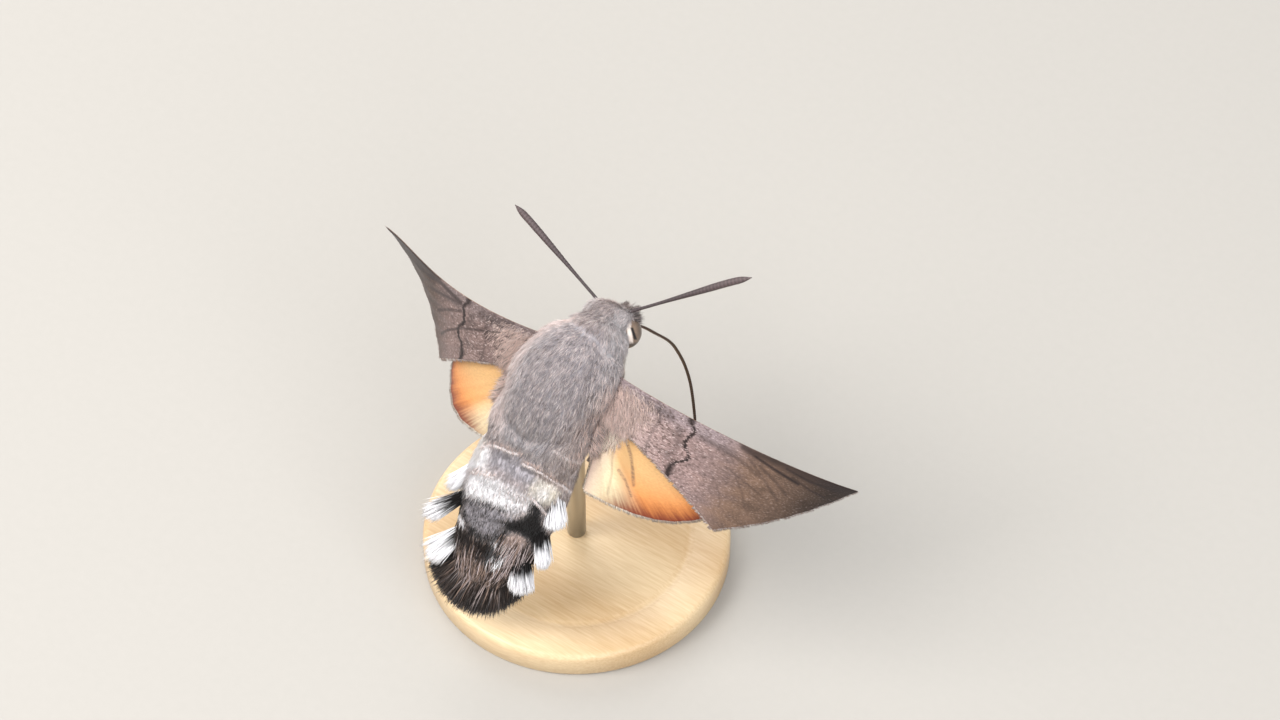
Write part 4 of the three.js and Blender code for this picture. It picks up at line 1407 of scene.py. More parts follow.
@dataclass(frozen=True)
class StudioPaper(Finish):
    """Matt pale paper under the model."""

    name: str = "studio_paper"
    colour: str = "#aeaaa4"

    def paint(self, tree: Tree, surface: Node) -> None:
        """Lay an even pale colour with the faint tooth of paper.

        Args:
            tree: Node tree of the material.
            surface: Its principled surface.
        """
        place = add(tree, Kind.PLACE)
        tooth = add(tree, Kind.NOISE, {"Vector": place, "Scale": 1 / (0.8 * MM), "Detail": 2.0})
        tone = add(tree, Kind.RANGE, {0: tooth, 3: 0.98, 4: 1.02})
        colour = add(tree, Kind.TINT, {0: 1.0, 6: self.colour, 7: tone})
        feed(tree, surface, {"Base Color": colour, "Roughness": 0.9, "Specular IOR Level": 0.1})


# Pieces of the model


HAIR = HairScales()
HAIR_BASES = HairScales(name="chitin_hair_bases", is_skin=True)


@dataclass
class Assembly(ABC):
    """Sub-assembly that makes its pieces and then gives each one its finish."""

    made: list[tuple[Piece, Finish]] = field(default_factory=list, kw_only=True)

    @abstractmethod
    def build(self) -> None:
        """Make the pieces and seat them."""

    def seat(self, piece: Piece, finish: Finish, slot: str, *nodes: str) -> None:
        """Fix a piece to the model's one body and hide the plain solids that it takes the place of.

        Args:
            piece: The finished piece.
            finish: What it is made of.
            slot: Material slot of the record; not used.
            nodes: Plain solids that the piece takes the place of.
        """
        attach(piece, BODY)
        if nodes:
            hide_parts(*nodes)
        self.made.append((piece, finish))
        LOG.info("%s: %d triangles", piece.name, len(piece.data.polygons))

    def dress(self) -> None:
        """Give every piece its material."""
        for piece, finish in self.made:
            piece.data.materials.append(finish.material())


@dataclass
class Stand(Assembly):
    """Turned wooden disc with a steel rod up into the thorax."""

    radius: float = 13.0
    thickness: float = 2.6
    rod_radius: float = 0.8
    rod_top: float = 23.1
    edge_round: float = 0.55
    groove_radius: float = 9.6
    sides: int = 160
    rod_sides: int = 48

    def turned(self, profile: Sequence[tuple[float, float]], sides: int) -> tuple[Array, Array]:
        """Turn a profile about the upright axis.

        Args:
            profile: Radius and height from the bottom up.
            sides: Points round the axis.

        Returns:
            Points in metres and triangles.
        """
        rings = np.array([[(r * math.cos(t), r * math.sin(t), z) for t in circle(sides)]
                          for r, z in profile])
        ends = (np.array([0.0, 0.0, profile[k][1]]) for k in (0, -1))
        points, triangles = closed_rings(rings, *ends)
        return points * MM, triangles

    def build(self) -> None:
        """Make the disc and the rod."""
        top, out, round_ = self.thickness, self.radius, self.edge_round
        profile = [(out * 0.6, 0.0), (out - 0.25, 0.0), (out, 0.25)]
        for step in range(7):
            a = step / 6 * math.pi / 2
            profile.append((out - round_ + round_ * math.cos(a), top - round_ + round_ * math.sin(a)))
        # Shallow turned groove, and a slight hollow towards the rod.
        for away, deep in ((0.45, 0.0), (0.28, 0.09), (0.0, 0.16), (-0.28, 0.09), (-0.45, 0.0)):
            profile.append((self.groove_radius + away, top - deep))
        profile += [(3.0, top), (1.3, top), (1.05, top - 0.1), (0.4, top - 0.1)]
        disc = new_mesh("stand_disc", *self.turned(profile, self.sides))
        self.seat(disc, TurnedBeech(), "stand_base", "stand_base")
        r = self.rod_radius
        rod_profile = [(r - 0.08, top - 0.1), (r, top), (r, self.rod_top - 0.1), (r - 0.1, self.rod_top)]
        rod = new_mesh("stand_post", *self.turned(rod_profile, self.rod_sides))
        self.seat(rod, BrushedSteel(), "stand_rod", "stand_rod")


@dataclass(frozen=True)
class WingPose:
    """Root and steering of one side's wings."""

    root: Point
    droop_deg: tuple[float, float, float, float]
    sweep_deg: tuple[float, float, float, float]
    twist_deg: tuple[float, float, float, float]


WING_LENGTH = 23.2
WING_POSES = {
    Side.LEFT: WingPose((-3.77, 3.14, 1.37), (4.67, -31.54, -45.02, -36.17),
                        (-6.59, 0.41, 8.88, -0.84), (10.74, 19.49, 40.11, 61.64)),
    Side.RIGHT: WingPose((5.13, 3.06, 1.14), (20.69, -13.85, -43.94, -69.68),
                         (-0.17, -0.22, -1.47, -0.62), (4.43, 16.92, 22.16, 22.38)),
}


def wing_direction(side: Side, share: Array) -> Array:
    """Follow the way a wing points, from its root to its tip.

    Args:
        side: Which wing.
        share: Place along it, from 0 to 1.

    Returns:
        Directions of length one.
    """
    pose = WING_POSES[side]
    t = np.clip(share, 0.0, 1.0)
    droop = np.radians(steer(pose.droop_deg, t))
    sweep = np.radians(steer(pose.sweep_deg, t))
    return np.stack([side.value * np.cos(droop) * np.cos(sweep), np.sin(sweep),
                     np.sin(droop) * np.cos(sweep)], axis=-1)


def wing_place(side: Side, span: Array, chord: Array, drop: Array) -> tuple[Array, Array]:
    """Carry flat wing places onto the drooping, twisted wing.

    Args:
        side: Which wing.
        span: Millimetres out from the root.
        chord: Millimetres behind the front edge.
        drop: Millimetres under the forewing's own sheet.

    Returns:
        Points, and directions out of the upper face.
    """
    steps = 40
    point = np.zeros(span.shape + (3,)) + np.array(WING_POSES[side].root)
    for i in range(steps):
        point += wing_direction(side, span / steps * (i + 0.5) / WING_LENGTH) * (span / steps)[..., None]
    share = np.clip(span / WING_LENGTH, 0.0, 1.0)
    out = wing_direction(side, share)
    back = unit(np.array([0.0, -1.0, 0.0]) + out * out[..., 1:2])
    over = np.cross(out, back) * -side.value
    twist = np.radians(steer(WING_POSES[side].twist_deg, share))[..., None]
    along = back * np.cos(twist) - over * np.sin(twist)
    normal = over * np.cos(twist) + back * np.sin(twist)
    return point + along * chord[..., None] - normal * drop[..., None], normal


@dataclass
class Wing(Assembly):
    """One wing: a thin sheet with raised veins, pleats between them and a hair fringe."""

    side: Side
    inset: float
    span_steps: int
    chord_steps: int
    finish: Finish
    vein_width: float = 0.16
    vein_height: float = 0.025
    half_thickness: float = 0.055
    pleat: float = 0.03
    fringe_count: int = 3600
    fringe_length: float = 0.42
    fringe_width: float = 0.045
    fringe_sunk: float = 0.12
    fur_count: int = 5600
    fur_reach: float = 0.26
    fur_length: float = 1.2
    fur_outward: float = 0.9
    step: float = 0.01

    label = "wing"
    # Strength, half width in millimetres, and spans and chords along each dark streak.
    streaks: ClassVar[tuple[tuple[float, float, Line], ...]] = ()
    # The same for dark lines of the left wing alone: painted shade along its creases, mixed with lines of
    # its pattern drawn again.
    creases: ClassVar[tuple[tuple[float, float, Line], ...]] = ()

    def dark_at(self, span: Array, chord: Array) -> Array:
        """Tell how dark the streaks make each place.

        Args:
            span: Millimetres out from the root.
            chord: Millimetres behind the front edge.

        Returns:
            0 beside the streaks, up to their strength on them.
        """
        dark = np.zeros(span.shape)
        creases = self.creases if self.side is Side.LEFT else ()
        for strength, half_width, path in self.streaks + creases:
            away = line_distance(span, chord, np.array(path))
            dark = np.maximum(dark, strength * ramp(away, half_width * 1.9, half_width * 0.3))
        return dark

    @abstractmethod
    def flat(self, u: Array, v: Array) -> tuple[Array, Array]:
        """Give span and chord for shares along the wing (u) and across it (v)."""

    @abstractmethod
    def drop(self, span: Array, chord: Array) -> Array:
        """Give the depth in millimetres under the forewing's sheet."""

    @abstractmethod
    def vein_at(self, u: Array, v: Array, span: Array) -> Array:
        """Tell how much of a vein runs through each place: 1 on it and 0 beside it."""

    def surface(self, u: Array, v: Array) -> tuple[Array, Array, Array, Array]:
        """Shape the middle of the sheet.

        Args:
            u: Share along the wing.
            v: Share across the wing.

        Returns:
            Points, upper directions, spans and chords.
        """
        span, chord = self.flat(u, v)
        points, normal = wing_place(self.side, span, chord, self.drop(span, chord))
        wave = np.cos(v * 12 * math.pi) * ramp(u, 0.1, 0.5) * (0.4 + 0.6 * v)
        return points + normal * (self.pleat * wave)[..., None], normal, span, chord

    def build(self) -> None:
        """Make the closed sheet and its fringe."""
        u, v = np.meshgrid(np.linspace(0, 1, self.span_steps + 1),
                           np.linspace(0, 1, self.chord_steps + 1), indexing="ij")
        middle, normal, span, chord = self.surface(u, v)
        vein = self.vein_at(u, v, span)
        rim = np.minimum(np.minimum(v, 1 - v) * self.chord_steps, (1 - u) * self.span_steps)
        half = self.half_thickness * (0.35 + 0.65 * np.clip(rim, 0, 1)) + self.vein_height * vein
        upper = middle + normal * half[..., None]
        lower = middle - normal * half[..., None]
        row = self.chord_steps + 1
        count = u.size
        i, j = np.meshgrid(np.arange(self.span_steps), np.arange(self.chord_steps), indexing="ij")
        a = (i * row + j).ravel()
        b, c, d = a + 1, a + row + 1, a + row
        loop = np.concatenate([np.arange(row - 1), np.arange(self.span_steps) * row + row - 1,
                               self.span_steps * row + np.arange(row - 1, 0, -1),
                               np.arange(self.span_steps, 0, -1) * row])
        after = np.roll(loop, -1)
        corners = ((a, b, c), (a, c, d), (a + count, c + count, b + count),
                   (a + count, d + count, c + count),
                   (loop, after + count, after), (loop, loop + count, after + count))
        faces = np.vstack([np.stack(three, -1) for three in corners])
        points = np.vstack([upper.reshape(-1, 3), lower.reshape(-1, 3)])
        self.add_base_fur()
        sheet = new_mesh(f"{self.label}_sheet_{self.side.label}", HANGING.to_world(points),
                         outward(points, faces))
        place = np.stack([span, chord, v], -1).reshape(-1, 3)
        rim_span, rim_chord = self.flat(np.ones(160), np.linspace(0, 1, 160))
        edge = np.hypot(span[..., None] - rim_span, chord[..., None] - rim_chord).min(axis=-1).ravel()
        set_vectors(sheet, "wing_place", np.vstack([place, place]))
        dark = self.dark_at(span, chord).ravel()
        facts = [np.stack([edge, np.full(count, float(face)), dark], -1) for face in (1, 0)]
        set_vectors(sheet, "wing_facts", np.vstack(facts))
        flat_map = self.map_place(u, v).reshape(-1, 2)
        set_bake_map(sheet, np.vstack([flat_map, flat_map + np.array([0.5, 0.0])]))
        self.seat(sheet, self.finish, self.label, f"{self.label}_{self.side.label}")
        self.add_fringe()

    @staticmethod
    def map_place(u: Array, v: Array) -> Array:
        """Lay the upper face out on the left half of the map, for shares along and across it."""
        return np.stack([0.02 + 0.45 * u, 0.02 + 0.96 * v], -1)

    @abstractmethod
    def base_marks(self, v: Array, rng: Rng) -> Array:
        """Colour the fur of the wing's base by the share across the wing."""

    def add_base_fur(self) -> None:
        """Lay fine fur over the base of the wing, thinning out along it."""
        rng = np.random.default_rng(31 if self.side is Side.LEFT else 32)
        count = self.fur_count
        u = self.fur_reach * (1.0 - np.sqrt(rng.random(count)) * rng.uniform(0.55, 1.0, count))
        v = rng.random(count)
        root, normal, _, _ = self.surface(u, v)
        outward_way = unit(self.surface(u + self.step, v)[0] - root)
        rearward = unit(self.surface(u, v + self.step)[0] - root)
        lie = unit(outward_way * self.fur_outward + rearward + 0.2 * rng.normal(size=(count, 3)))
        lie = flattened(lie, normal)
        length = rng.uniform(0.6, 1.1, count) * self.fur_length * (1.0 - 0.5 * u / self.fur_reach)
        length = length * (1.0 + 0.6 * v)
        hairs = Hairs(root, normal, lie, length, rng.uniform(0.04, 0.06, count), self.base_marks(v, rng),
                      self.map_place(u, v) * 0.99, lift_deg=13, lay_deg=-3, sunk=0.02, seed=33)
        self.seat(hairs.build(f"{self.label}_base_fur_{self.side.label}"), HAIR, self.label)

    @abstractmethod
    def fringe_marks(self, v: Array, rng: Rng) -> Array:
        """Colour the fringe by the share across the wing."""

    def add_fringe(self) -> None:
        """Set a row of fine hair scales round the outer and hind margins."""
        rng = np.random.default_rng(41 if self.side is Side.LEFT else 42)
        count = self.fringe_count
        outer = rng.random(count) < 0.62
        u = np.where(outer, 1.0, 0.25 + 0.75 * rng.random(count))
        v = np.where(outer, rng.random(count), 1.0)
        root, normal, _, _ = self.surface(u, v)
        ahead_u, ahead_v = self.surface(u - self.step, v)[0], self.surface(u, v - self.step)[0]
        lie = unit(np.where(outer[:, None], root - ahead_u, root - ahead_v))
        root = root - lie * self.fringe_sunk
        width = np.full(count, self.fringe_width)
        length = self.fringe_length * rng.uniform(0.6, 1.1, count)
        hairs = Hairs(root, normal, lie, length, width, self.fringe_marks(v, rng),
                      self.map_place(u, v) * 0.99, lift_deg=0.0, lay_deg=0.0, lift_spread_deg=5.0,
                      sunk=0.0, clump=0.25, clump_pull=0.4, sway=0.18, seed=7)
        self.seat(hairs.build(f"{self.label}_fringe_{self.side.label}"), HAIR, self.label)


@dataclass
class Forewing(Wing):
    """Long narrow front wing."""

    root_chord: float = 2.6
    tornus_at: float = 0.555
    tornus_chord: float = 8.05
    hind_hollow: float = 0.5
    cell_length: float = 9.9
    outer_bulge: float = 0.8

    label = "forewing"
    # Partly painted shade along the left forewing's creases, partly its cross line and other pattern lines
    # drawn darker.
    creases: ClassVar[tuple[tuple[float, float, Line], ...]] = (
        (0.75, 0.14, ((7.8, 0.8), (10.15, 1.2), (13.4, 1.9))),
        (0.7, 0.12, ((7.65, 1.45), (9.55, 2.15), (12.0, 3.3))),
        (0.75, 0.1, ((2.8, 1.4), (4.45, 1.85), (7.0, 2.7), (9.5, 4.0), (11.5, 5.3))),
        (0.9, 0.2, ((7.8, 0.8), (11.15, 0.4), (14.4, 0.95), (19.3, 0.1))),
        (0.5, 0.12, ((4.4, 2.1), (2.65, 2.8), (1.2, 2.2))),
        (0.95, 0.14, ((6.8, -0.5), (6.85, 0.3), (7.4, 0.95), (7.15, 1.6), (7.05, 2.15), (7.6, 2.8),
                      (7.8, 3.2), (7.4, 3.7), (6.85, 4.2), (6.65, 4.8), (6.9, 5.6))),
        (0.6, 0.25, ((2.05, 0.15), (4.2, 0.7))),
    )
    streaks: ClassVar = (
        (0.85, 0.32, ((6.75, -0.1), (6.9, 0.3))),
        (0.8, 0.3, ((6.7, 4.5), (6.7, 5.2))),
        (0.85, 0.3, ((11.3, -0.1), (11.9, 0.35), (12.9, 0.45))),
        (0.9, 0.2, ((11.9, 0.25), (15.4, 0.2), (19.0, 0.3), (22.9, 0.2))),
        (0.85, 0.65, ((12.9, 0.0), (17.0, 0.2), (22.9, 0.2))),
        (1.0, 0.13, ((12.6, 0.55), (14.65, 0.95), (17.3, 1.35))),
        (0.5, 0.11, ((13.45, 1.2), (15.25, 1.9), (17.0, 2.7))),
        (0.42, 0.12, ((12.25, 0.9), (14.25, 2.1), (16.65, 3.5))),
        (0.9, 0.28, ((11.5, 0.25), (12.4, 0.35))),
        (0.45, 0.4, ((2.6, 0.55), (3.9, 0.75), (5.0, 0.8))),
        (0.4, 0.3, ((6.2, 1.4), (6.6, 2.6), (6.0, 3.9))),
        (1.0, 0.15, ((15.5, 0.45), (18.0, 0.75), (21.2, 0.75))),
        (0.75, 0.08, ((16.4, 1.0), (18.6, 1.5), (20.4, 1.7))),
        (0.45, 0.16, ((9.6, 1.25), (11.45, 1.35), (13.95, 2.1))),
        (0.4, 0.08, ((10.95, 2.5), (12.85, 3.0), (15.0, 3.6))),
        (0.3, 0.08, ((12.1, 2.9), (13.4, 4.1), (14.3, 5.1))),
        (0.22, 0.08, ((10.2, 3.6), (11.6, 4.9), (12.2, 6.0))),
        (0.4, 0.2, ((3.6, -0.1), (3.7, 0.5), (4.35, 0.7), (4.4, 1.5))),
        (0.45, 0.26, ((1.6, 1.35), (2.6, 1.15), (3.5, 0.9))),
        (0.35, 0.25, ((7.6, 1.0), (9.4, 1.15), (11.0, 1.1))),
    )

    def flat(self, u: Array, v: Array) -> tuple[Array, Array]:
        """Straight front edge, pointed tip, slanting outer and hind edges.

        Args:
            u: 0 at the root to 1 at the outer margin.
            v: 0 at the front edge to 1 at the hind edge.

        Returns:
            Span and chord in millimetres.
        """
        bulge = self.outer_bulge * np.sin(np.pi * v)
        outer_span = WING_LENGTH * (1 + (self.tornus_at - 1) * v) + bulge * 0.7
        outer_chord = self.tornus_chord * v + bulge * 0.7 + 0.15
        eased = u**0.92
        span = -self.inset + (outer_span + self.inset) * eased
        chord = self.root_chord * v + (outer_chord - self.root_chord * v) * eased
        return span, chord - self.hind_hollow * np.sin(np.pi * u) * v * v

    def drop(self, span: Array, chord: Array) -> Array:
        """None: the forewing is the sheet that depths are measured from."""
        return np.zeros(span.shape)

    def vein_at(self, u: Array, v: Array, span: Array) -> Array:
        """Run six veins from the root, with a cross vein that closes the cell.

        Args:
            u: 0 at the root to 1 at the outer margin.
            v: 0 at the front edge to 1 at the hind edge.
            span: Millimetres out from the root.

        Returns:
            1 on a vein and 0 beside it.
        """
        wide = np.maximum(self.root_chord + (self.tornus_chord - self.root_chord) * np.clip(u, 0, 1), 1.0)
        away = np.abs(v * 6 - np.round(v * 6)) / 6 * wide
        lines = np.exp(-((away / self.vein_width) ** 2)) * (v < 0.95)
        thick = 1.0 - 0.6 * ramp(u, 0.3, 1.0)
        front = np.exp(-((v * wide / 0.35) ** 2)) * 1.4
        closing = self.cell_length + 0.9 * np.sin(v * 6)
        cell = np.exp(-(((span - closing) / self.vein_width) ** 2)) * band(v, 0.17, 0.66, 0.02)
        return np.maximum(np.maximum(lines * thick, front * thick), 0.7 * cell)

    def base_marks(self, v: Array, rng: Rng) -> Array:
        """Pinkish brown hair, flecked with dark.

        Args:
            v: 0 at the front edge to 1 at the hind edge.
            rng: Source of chance.

        Returns:
            (n, 6) shares of each Mark.
        """
        return marked(v.shape, brown=0.9 * rng.random(v.shape),
                      pink=(0.3 + 0.65 * rng.random(v.shape)) * ramp(v, -0.05, 0.15),
                      black=0.55 * (rng.random(v.shape) < 0.06))

    def fringe_marks(self, v: Array, rng: Rng) -> Array:
        """Brown fringe with paler hair among it."""
        return marked(v.shape, brown=1.0, white=0.4 * (rng.random(v.shape) < 0.35))


@dataclass
class Hindwing(Wing):
    """Short rounded rear wing under the forewing."""

    length: float = 12.4
    lead: float = 2.7
    lead_end: float = 7.5
    root_chord: float = 2.6
    inner_chord: float = 9.8
    outer_bulge: float = 1.5
    lift: float = 0.03
    under: float = 1.06
    overlap: float = 0.5

    label = "hindwing"
    # Painted shade along the folds of the right hindwing.
    streaks: ClassVar = (
        (0.2, 0.6, ((1.2, 4.2), (2.4, 6.2), (3.5, 8.8))),
        (0.75, 0.15, ((1.5, 4.45), (2.7, 5.7), (3.9, 7.65))),
        (0.7, 0.12, ((2.0, 7.05), (2.95, 7.6), (4.05, 8.6))),
        (0.4, 0.1, ((0.8, 5.9), (1.5, 7.6), (1.9, 9.2))),
    )

    def flat(self, u: Array, v: Array) -> tuple[Array, Array]:
        """Rounded outline from under the forewing back beside the abdomen.

        Args:
            u: 0 at the root to 1 at the outer margin.
            v: 0 at the front edge to 1 at the hind edge.

        Returns:
            Span and chord in millimetres.
        """
        bulge = self.outer_bulge * np.sin(np.pi * v)
        outer_span = self.length + (-0.4 - self.length) * v + bulge * 0.7
        outer_chord = self.lead_end + (self.inner_chord - self.lead_end) * v**0.6 + bulge * 0.45
        root_at = self.lead + self.root_chord * v
        return -self.inset + (outer_span + self.inset) * u, root_at + (outer_chord - root_at) * u

    def drop(self, span: Array, chord: Array) -> Array:
        """One step under the forewing, rising where nothing covers it."""
        near, far = Forewing.root_chord, Forewing.tornus_chord
        covered = near + (far - near) * np.clip(span / (Forewing.tornus_at * WING_LENGTH), 0, 1)
        return self.under - self.lift * np.maximum(0.0, chord - covered - self.overlap)

    def dark_at(self, span: Array, chord: Array) -> Array:
        """Paint shade along the folds of the right wing, the one that the photo shows creased."""
        return super().dark_at(span, chord) * (self.side is Side.RIGHT)

    def vein_at(self, u: Array, v: Array, span: Array) -> Array:
        """Run seven veins out like ribs of a fan.

        Args:
            u: 0 at the root to 1 at the outer margin.
            v: 0 at the front edge to 1 at the hind edge.
            span: Millimetres out from the root.

        Returns:
            1 on a vein and 0 beside it.
        """
        wide = np.maximum(1.6, 9.0 * u)
        away = np.abs(v * 6 - np.round(v * 6)) / 6 * wide
        return np.exp(-((away / self.vein_width) ** 2)) * ramp(u, 0.0, 0.15) * (1 - 0.5 * ramp(u, 0.5, 1))

    def base_marks(self, v: Array, rng: Rng) -> Array:
        """Cream hair with some brown.

        Args:
            v: 0 at the front edge to 1 at the hind edge.
            rng: Source of chance.

        Returns:
            (n, 6) shares of each Mark.
        """
        return marked(v.shape, brown=1.0, pink=0.9 * (rng.random(v.shape) < 0.65),
                      cream=0.8 * (rng.random(v.shape) < 0.3 + 0.4 * v))

    def fringe_marks(self, v: Array, rng: Rng) -> Array:
        """Pale fringe, cream near the body and brown-tinged outward."""
        pale = rng.uniform(0.0, 0.9, v.shape) * (0.35 + 0.65 * ramp(v, 0.4, 0.8))
        return marked(v.shape, brown=1.0, cream=pale)


class Region(IntEnum):
    """Parts of the body that differ in their coat."""

    HEAD = 0
    THORAX = 1
    ABDOMEN = 2
    TAIL = 3


@dataclass(frozen=True)
class Lobe:
    """Soft rounded swelling of the body, on the right and mirrored on the left."""

    centre: Point
    radii: Point
    on_head: bool = False
    sides: tuple[Side, ...] = (Side.LEFT, Side.RIGHT)

    def rings(self, side: Side) -> tuple[Array, Array, Array]:
        """Shape the lobe on one side.

        Args:
            side: Which side.

        Returns:
            Rings and the two points that close them, in the body's frame.
        """
        centre = np.array(self.centre) * np.array([side.value, 1, 1])
        placed = [centre + shape * np.array(self.radii) for shape in ball(22, 32, 0.12)]
        if self.on_head:
            placed = [HANGING.head_to_body(shape) for shape in placed]
        return placed[0], placed[1], placed[2]


def turned_degrees(turn: Array) -> Array:
    """Turn radians of 0 to 2 pi into degrees of -90 to 270, with 90 on the back."""
    return (np.degrees(turn) + 90.0) % 360.0 - 90.0


@dataclass
class Skin(Assembly):
    """One closed skin under the coat, from the head to the tail's core."""

    depth: float = 0.27
    head_depth: float = 0.14
    ring_step: float = 0.1
    voxel: float = 0.15
    samples: int = 30000
    lobes: tuple[Lobe, ...] = (
        Lobe((1.46, -0.75, 0.3), (1.05, 1.25, 1.15), on_head=True),
        Lobe((1.3, 0.45, 1.02), (0.9, 1.1, 0.8), on_head=True),
        Lobe((1.3, 4.4, -1.0), (1.9, 1.8, 2.0), sides=(Side.RIGHT,)),
        Lobe((0.6, 4.9, -0.9), (2.0, 1.7, 1.95), sides=(Side.RIGHT,)),
        Lobe((1.1, 4.2, -1.1), (1.3, 1.4, 1.6), sides=(Side.LEFT,)),
        Lobe((0.5, 4.8, -1.0), (1.5, 1.5, 1.8), sides=(Side.LEFT,)),
        Lobe((2.7, -3.6, 0.3), (1.55, 3.9, 1.9)),
        Lobe((0.9, -4.4, 0.5), (2.6, 3.2, 2.25)),
        Lobe((3.3, 1.6, 1.1), (1.35, 2.6, 1.4), sides=(Side.RIGHT,)),
        Lobe((2.6, 0.2, 1.0), (1.6, 3.0, 1.6), sides=(Side.LEFT,)),
    )
    melt_rounds: int = 40
    points: Array = field(default_factory=lambda: np.zeros((0, 3)))
    triangles: Array = field(default_factory=lambda: np.zeros((0, 3), int))
    normals: Array = field(default_factory=lambda: np.zeros((0, 3)))
    lie: Array = field(default_factory=lambda: np.zeros((0, 3)))
    region: Array = field(default_factory=lambda: np.zeros(0, int))
    along: Array = field(default_factory=lambda: np.zeros(0))
    turn_deg: Array = field(default_factory=lambda: np.zeros(0))

    def lofts(self) -> list[tuple[Array, Array]]:
        """Shape every form that the skin melts together.

        Returns:
            Closed point and triangle pairs in the body's frame.
        """
        turn = circle(72)
        grid = np.meshgrid(np.linspace(0.02, 0.98, 60), turn, indexing="ij")
        out = []
        for block, depth, carry in ((THORAX, self.depth, np.array),
                                    (HEAD, self.head_depth, HANGING.head_to_body)):
            first = np.array([0, block.front - depth, -block.droop * 0.86])
            last = np.array([0, -block.rear + depth, 0.0])
            out.append(closed_rings(carry(block.at(*grid, grow=-depth)), carry(first), carry(last)))
        run = np.linspace(-0.4, ABDOMEN.length + 0.4, 120)
        rings = ABDOMEN.at(*np.meshgrid(run, turn, indexing="ij"), -self.depth)
        out.append(closed_rings(rings, rings[0].mean(axis=0), rings[-1].mean(axis=0)))
        across = np.linspace(-0.96, 0.96, 40)
        over = np.sqrt(1 - across**2)
        outline = np.concatenate([np.stack([across, over], -1), np.stack([across, -over], -1)[::-1]])
        rows = []
        for along in np.linspace(-0.12, 0.4, 16):
            height = 1.0 - 0.72 * ramp(np.array(along), 0.0, 0.4)
            rows.append(TAIL_FAN.at(np.full(80, along), outline[:, 0] * 0.86, outline[:, 1] * height))
        rings = np.array(rows)
        out.append(closed_rings(rings, rings[0].mean(axis=0), rings[-1].mean(axis=0)))
        for lobe in self.lobes:
            out += [closed_rings(*lobe.rings(side)) for side in lobe.sides]
        return out

    def charted(self) -> tuple[Array, Array, Array, Array, Array]:
        """Spread known places over the forms.

        Returns:
            Places in the body's frame with their region, place along it, turn in degrees about it
            and rearward direction.
        """
        rng = np.random.default_rng(90)
        sheets = (
            (Region.HEAD, 0.5, (0.01, 0.99),
             lambda a, t: HANGING.head_to_body(HEAD.at(a, t, -self.head_depth))),
            (Region.THORAX, 1.0, (0.01, 0.99), lambda a, t: THORAX.at(a, t, -self.depth)),
            (Region.ABDOMEN, 1.0, (0.0, ABDOMEN.length + 0.4), lambda a, t: ABDOMEN.at(a, t, -self.depth)),
            (Region.TAIL, 0.2, (0.0, 0.45),
             lambda a, t: TAIL_FAN.at(a, 0.86 * np.cos(t), (1.0 - a) * np.sin(t))),
        )
        out: list[list[Array]] = [[], [], [], [], []]
        for region, share, reach, sheet in sheets:
            along, turn = scatter(rng, sheet, int(self.samples * share), reach)
            place, _, rearward = local_frame(sheet, along, turn)
            for held, values in zip(out, (place, np.full(len(along), int(region)), along,
                                          turned_degrees(turn), rearward)):
                held.append(values)
        return tuple(np.concatenate(held) for held in out)

    def melted(self) -> tuple[Array, Array]:
        """Melt the forms into one closed surface.

        Returns:
            Points in the body's frame and triangles.
        """
        rough = new_mesh("skin_lofts", *joined(self.lofts()))
        melt = rough.modifiers.new("melt", "REMESH")
        melt.mode, melt.voxel_size = "VOXEL", self.voxel
        smooth = rough.modifiers.new("smooth", "SMOOTH")
        smooth.factor, smooth.iterations = 0.5, self.melt_rounds
        held = rough.evaluated_get(bpy.context.evaluated_depsgraph_get())
        mesh = held.to_mesh()
        mesh.calc_loop_triangles()
        points = np.empty(len(mesh.vertices) * 3, np.float32)
        mesh.vertices.foreach_get("co", points)
        triangles = np.empty(len(mesh.loop_triangles) * 3, np.int32)
        mesh.loop_triangles.foreach_get("vertices", triangles)
        held.to_mesh_clear()
        bpy.data.objects.remove(rough)
        points = points.reshape(-1, 3).astype(float)
        return points, outward(points, triangles.reshape(-1, 3))

    def spread(self, values: Array, rounds: int) -> Array:
        """Even out values between neighbours on the skin.

        Args:
            values: (n, k) values of its points.
            rounds: How often.

        Returns:
            The evened values.
        """
        ends = np.concatenate([self.triangles[:, pair] for pair in ((0, 1), (1, 2), (2, 0))])
        count = len(self.points)
        near = np.maximum(np.bincount(ends[:, 0], minlength=count), 1)[:, None]
        for _ in range(rounds):
            total = np.stack([np.bincount(ends[:, 0], values[ends[:, 1], k], count)
                              for k in range(values.shape[1])], axis=-1)
            values = 0.4 * values + 0.6 * total / near
        return values

    def build(self) -> None:
        """Melt the forms, chart the surface and mark it."""
        self.points, self.triangles = self.melted()
        a, b, c = (self.points[self.triangles[:, k]] for k in range(3))
        face = np.cross(b - a, c - a)
        total = np.zeros_like(self.points)
        for k in range(3):
            np.add.at(total, self.triangles[:, k], face)
        self.normals = unit(total)
        self.chart()
        # Each ring of the abdomen swells to a low step at its rear.
        through = np.mod(self.along / ABDOMEN.ring_length, 1.0)
        swell = self.ring_step * (through - 0.5 - 0.5 * ramp(through, 0.93, 1.0))
        swell *= (self.region == Region.ABDOMEN) * ramp(self.along, 1.5, 3.5)
        self.points += self.normals * swell[:, None]
        rng = np.random.default_rng(91)
        marks = self.spread(body_marks(self.region, self.along, self.turn_deg, rng), 6)
        shell = new_mesh("body_skin", HANGING.to_world(self.points), self.triangles)
        count = len(self.points)
        set_marks(shell, marks, np.full((count, 3), 0.45))
        self.seat(shell, HAIR_BASES, "thorax", "thorax", "abdomen_front", "abdomen_middle",
                  "abdomen_rear", "head")

    def chart(self) -> None:
        """Give each point of the skin its region, its place in it and the coat's lie."""
        places, region, along, turn, rearward = self.charted()
        near = nearest(places, self.points)
        self.region, self.along, self.turn_deg = region[near], along[near], turn[near]
        self.lie = flattened(self.spread(rearward[near], 14), self.normals)


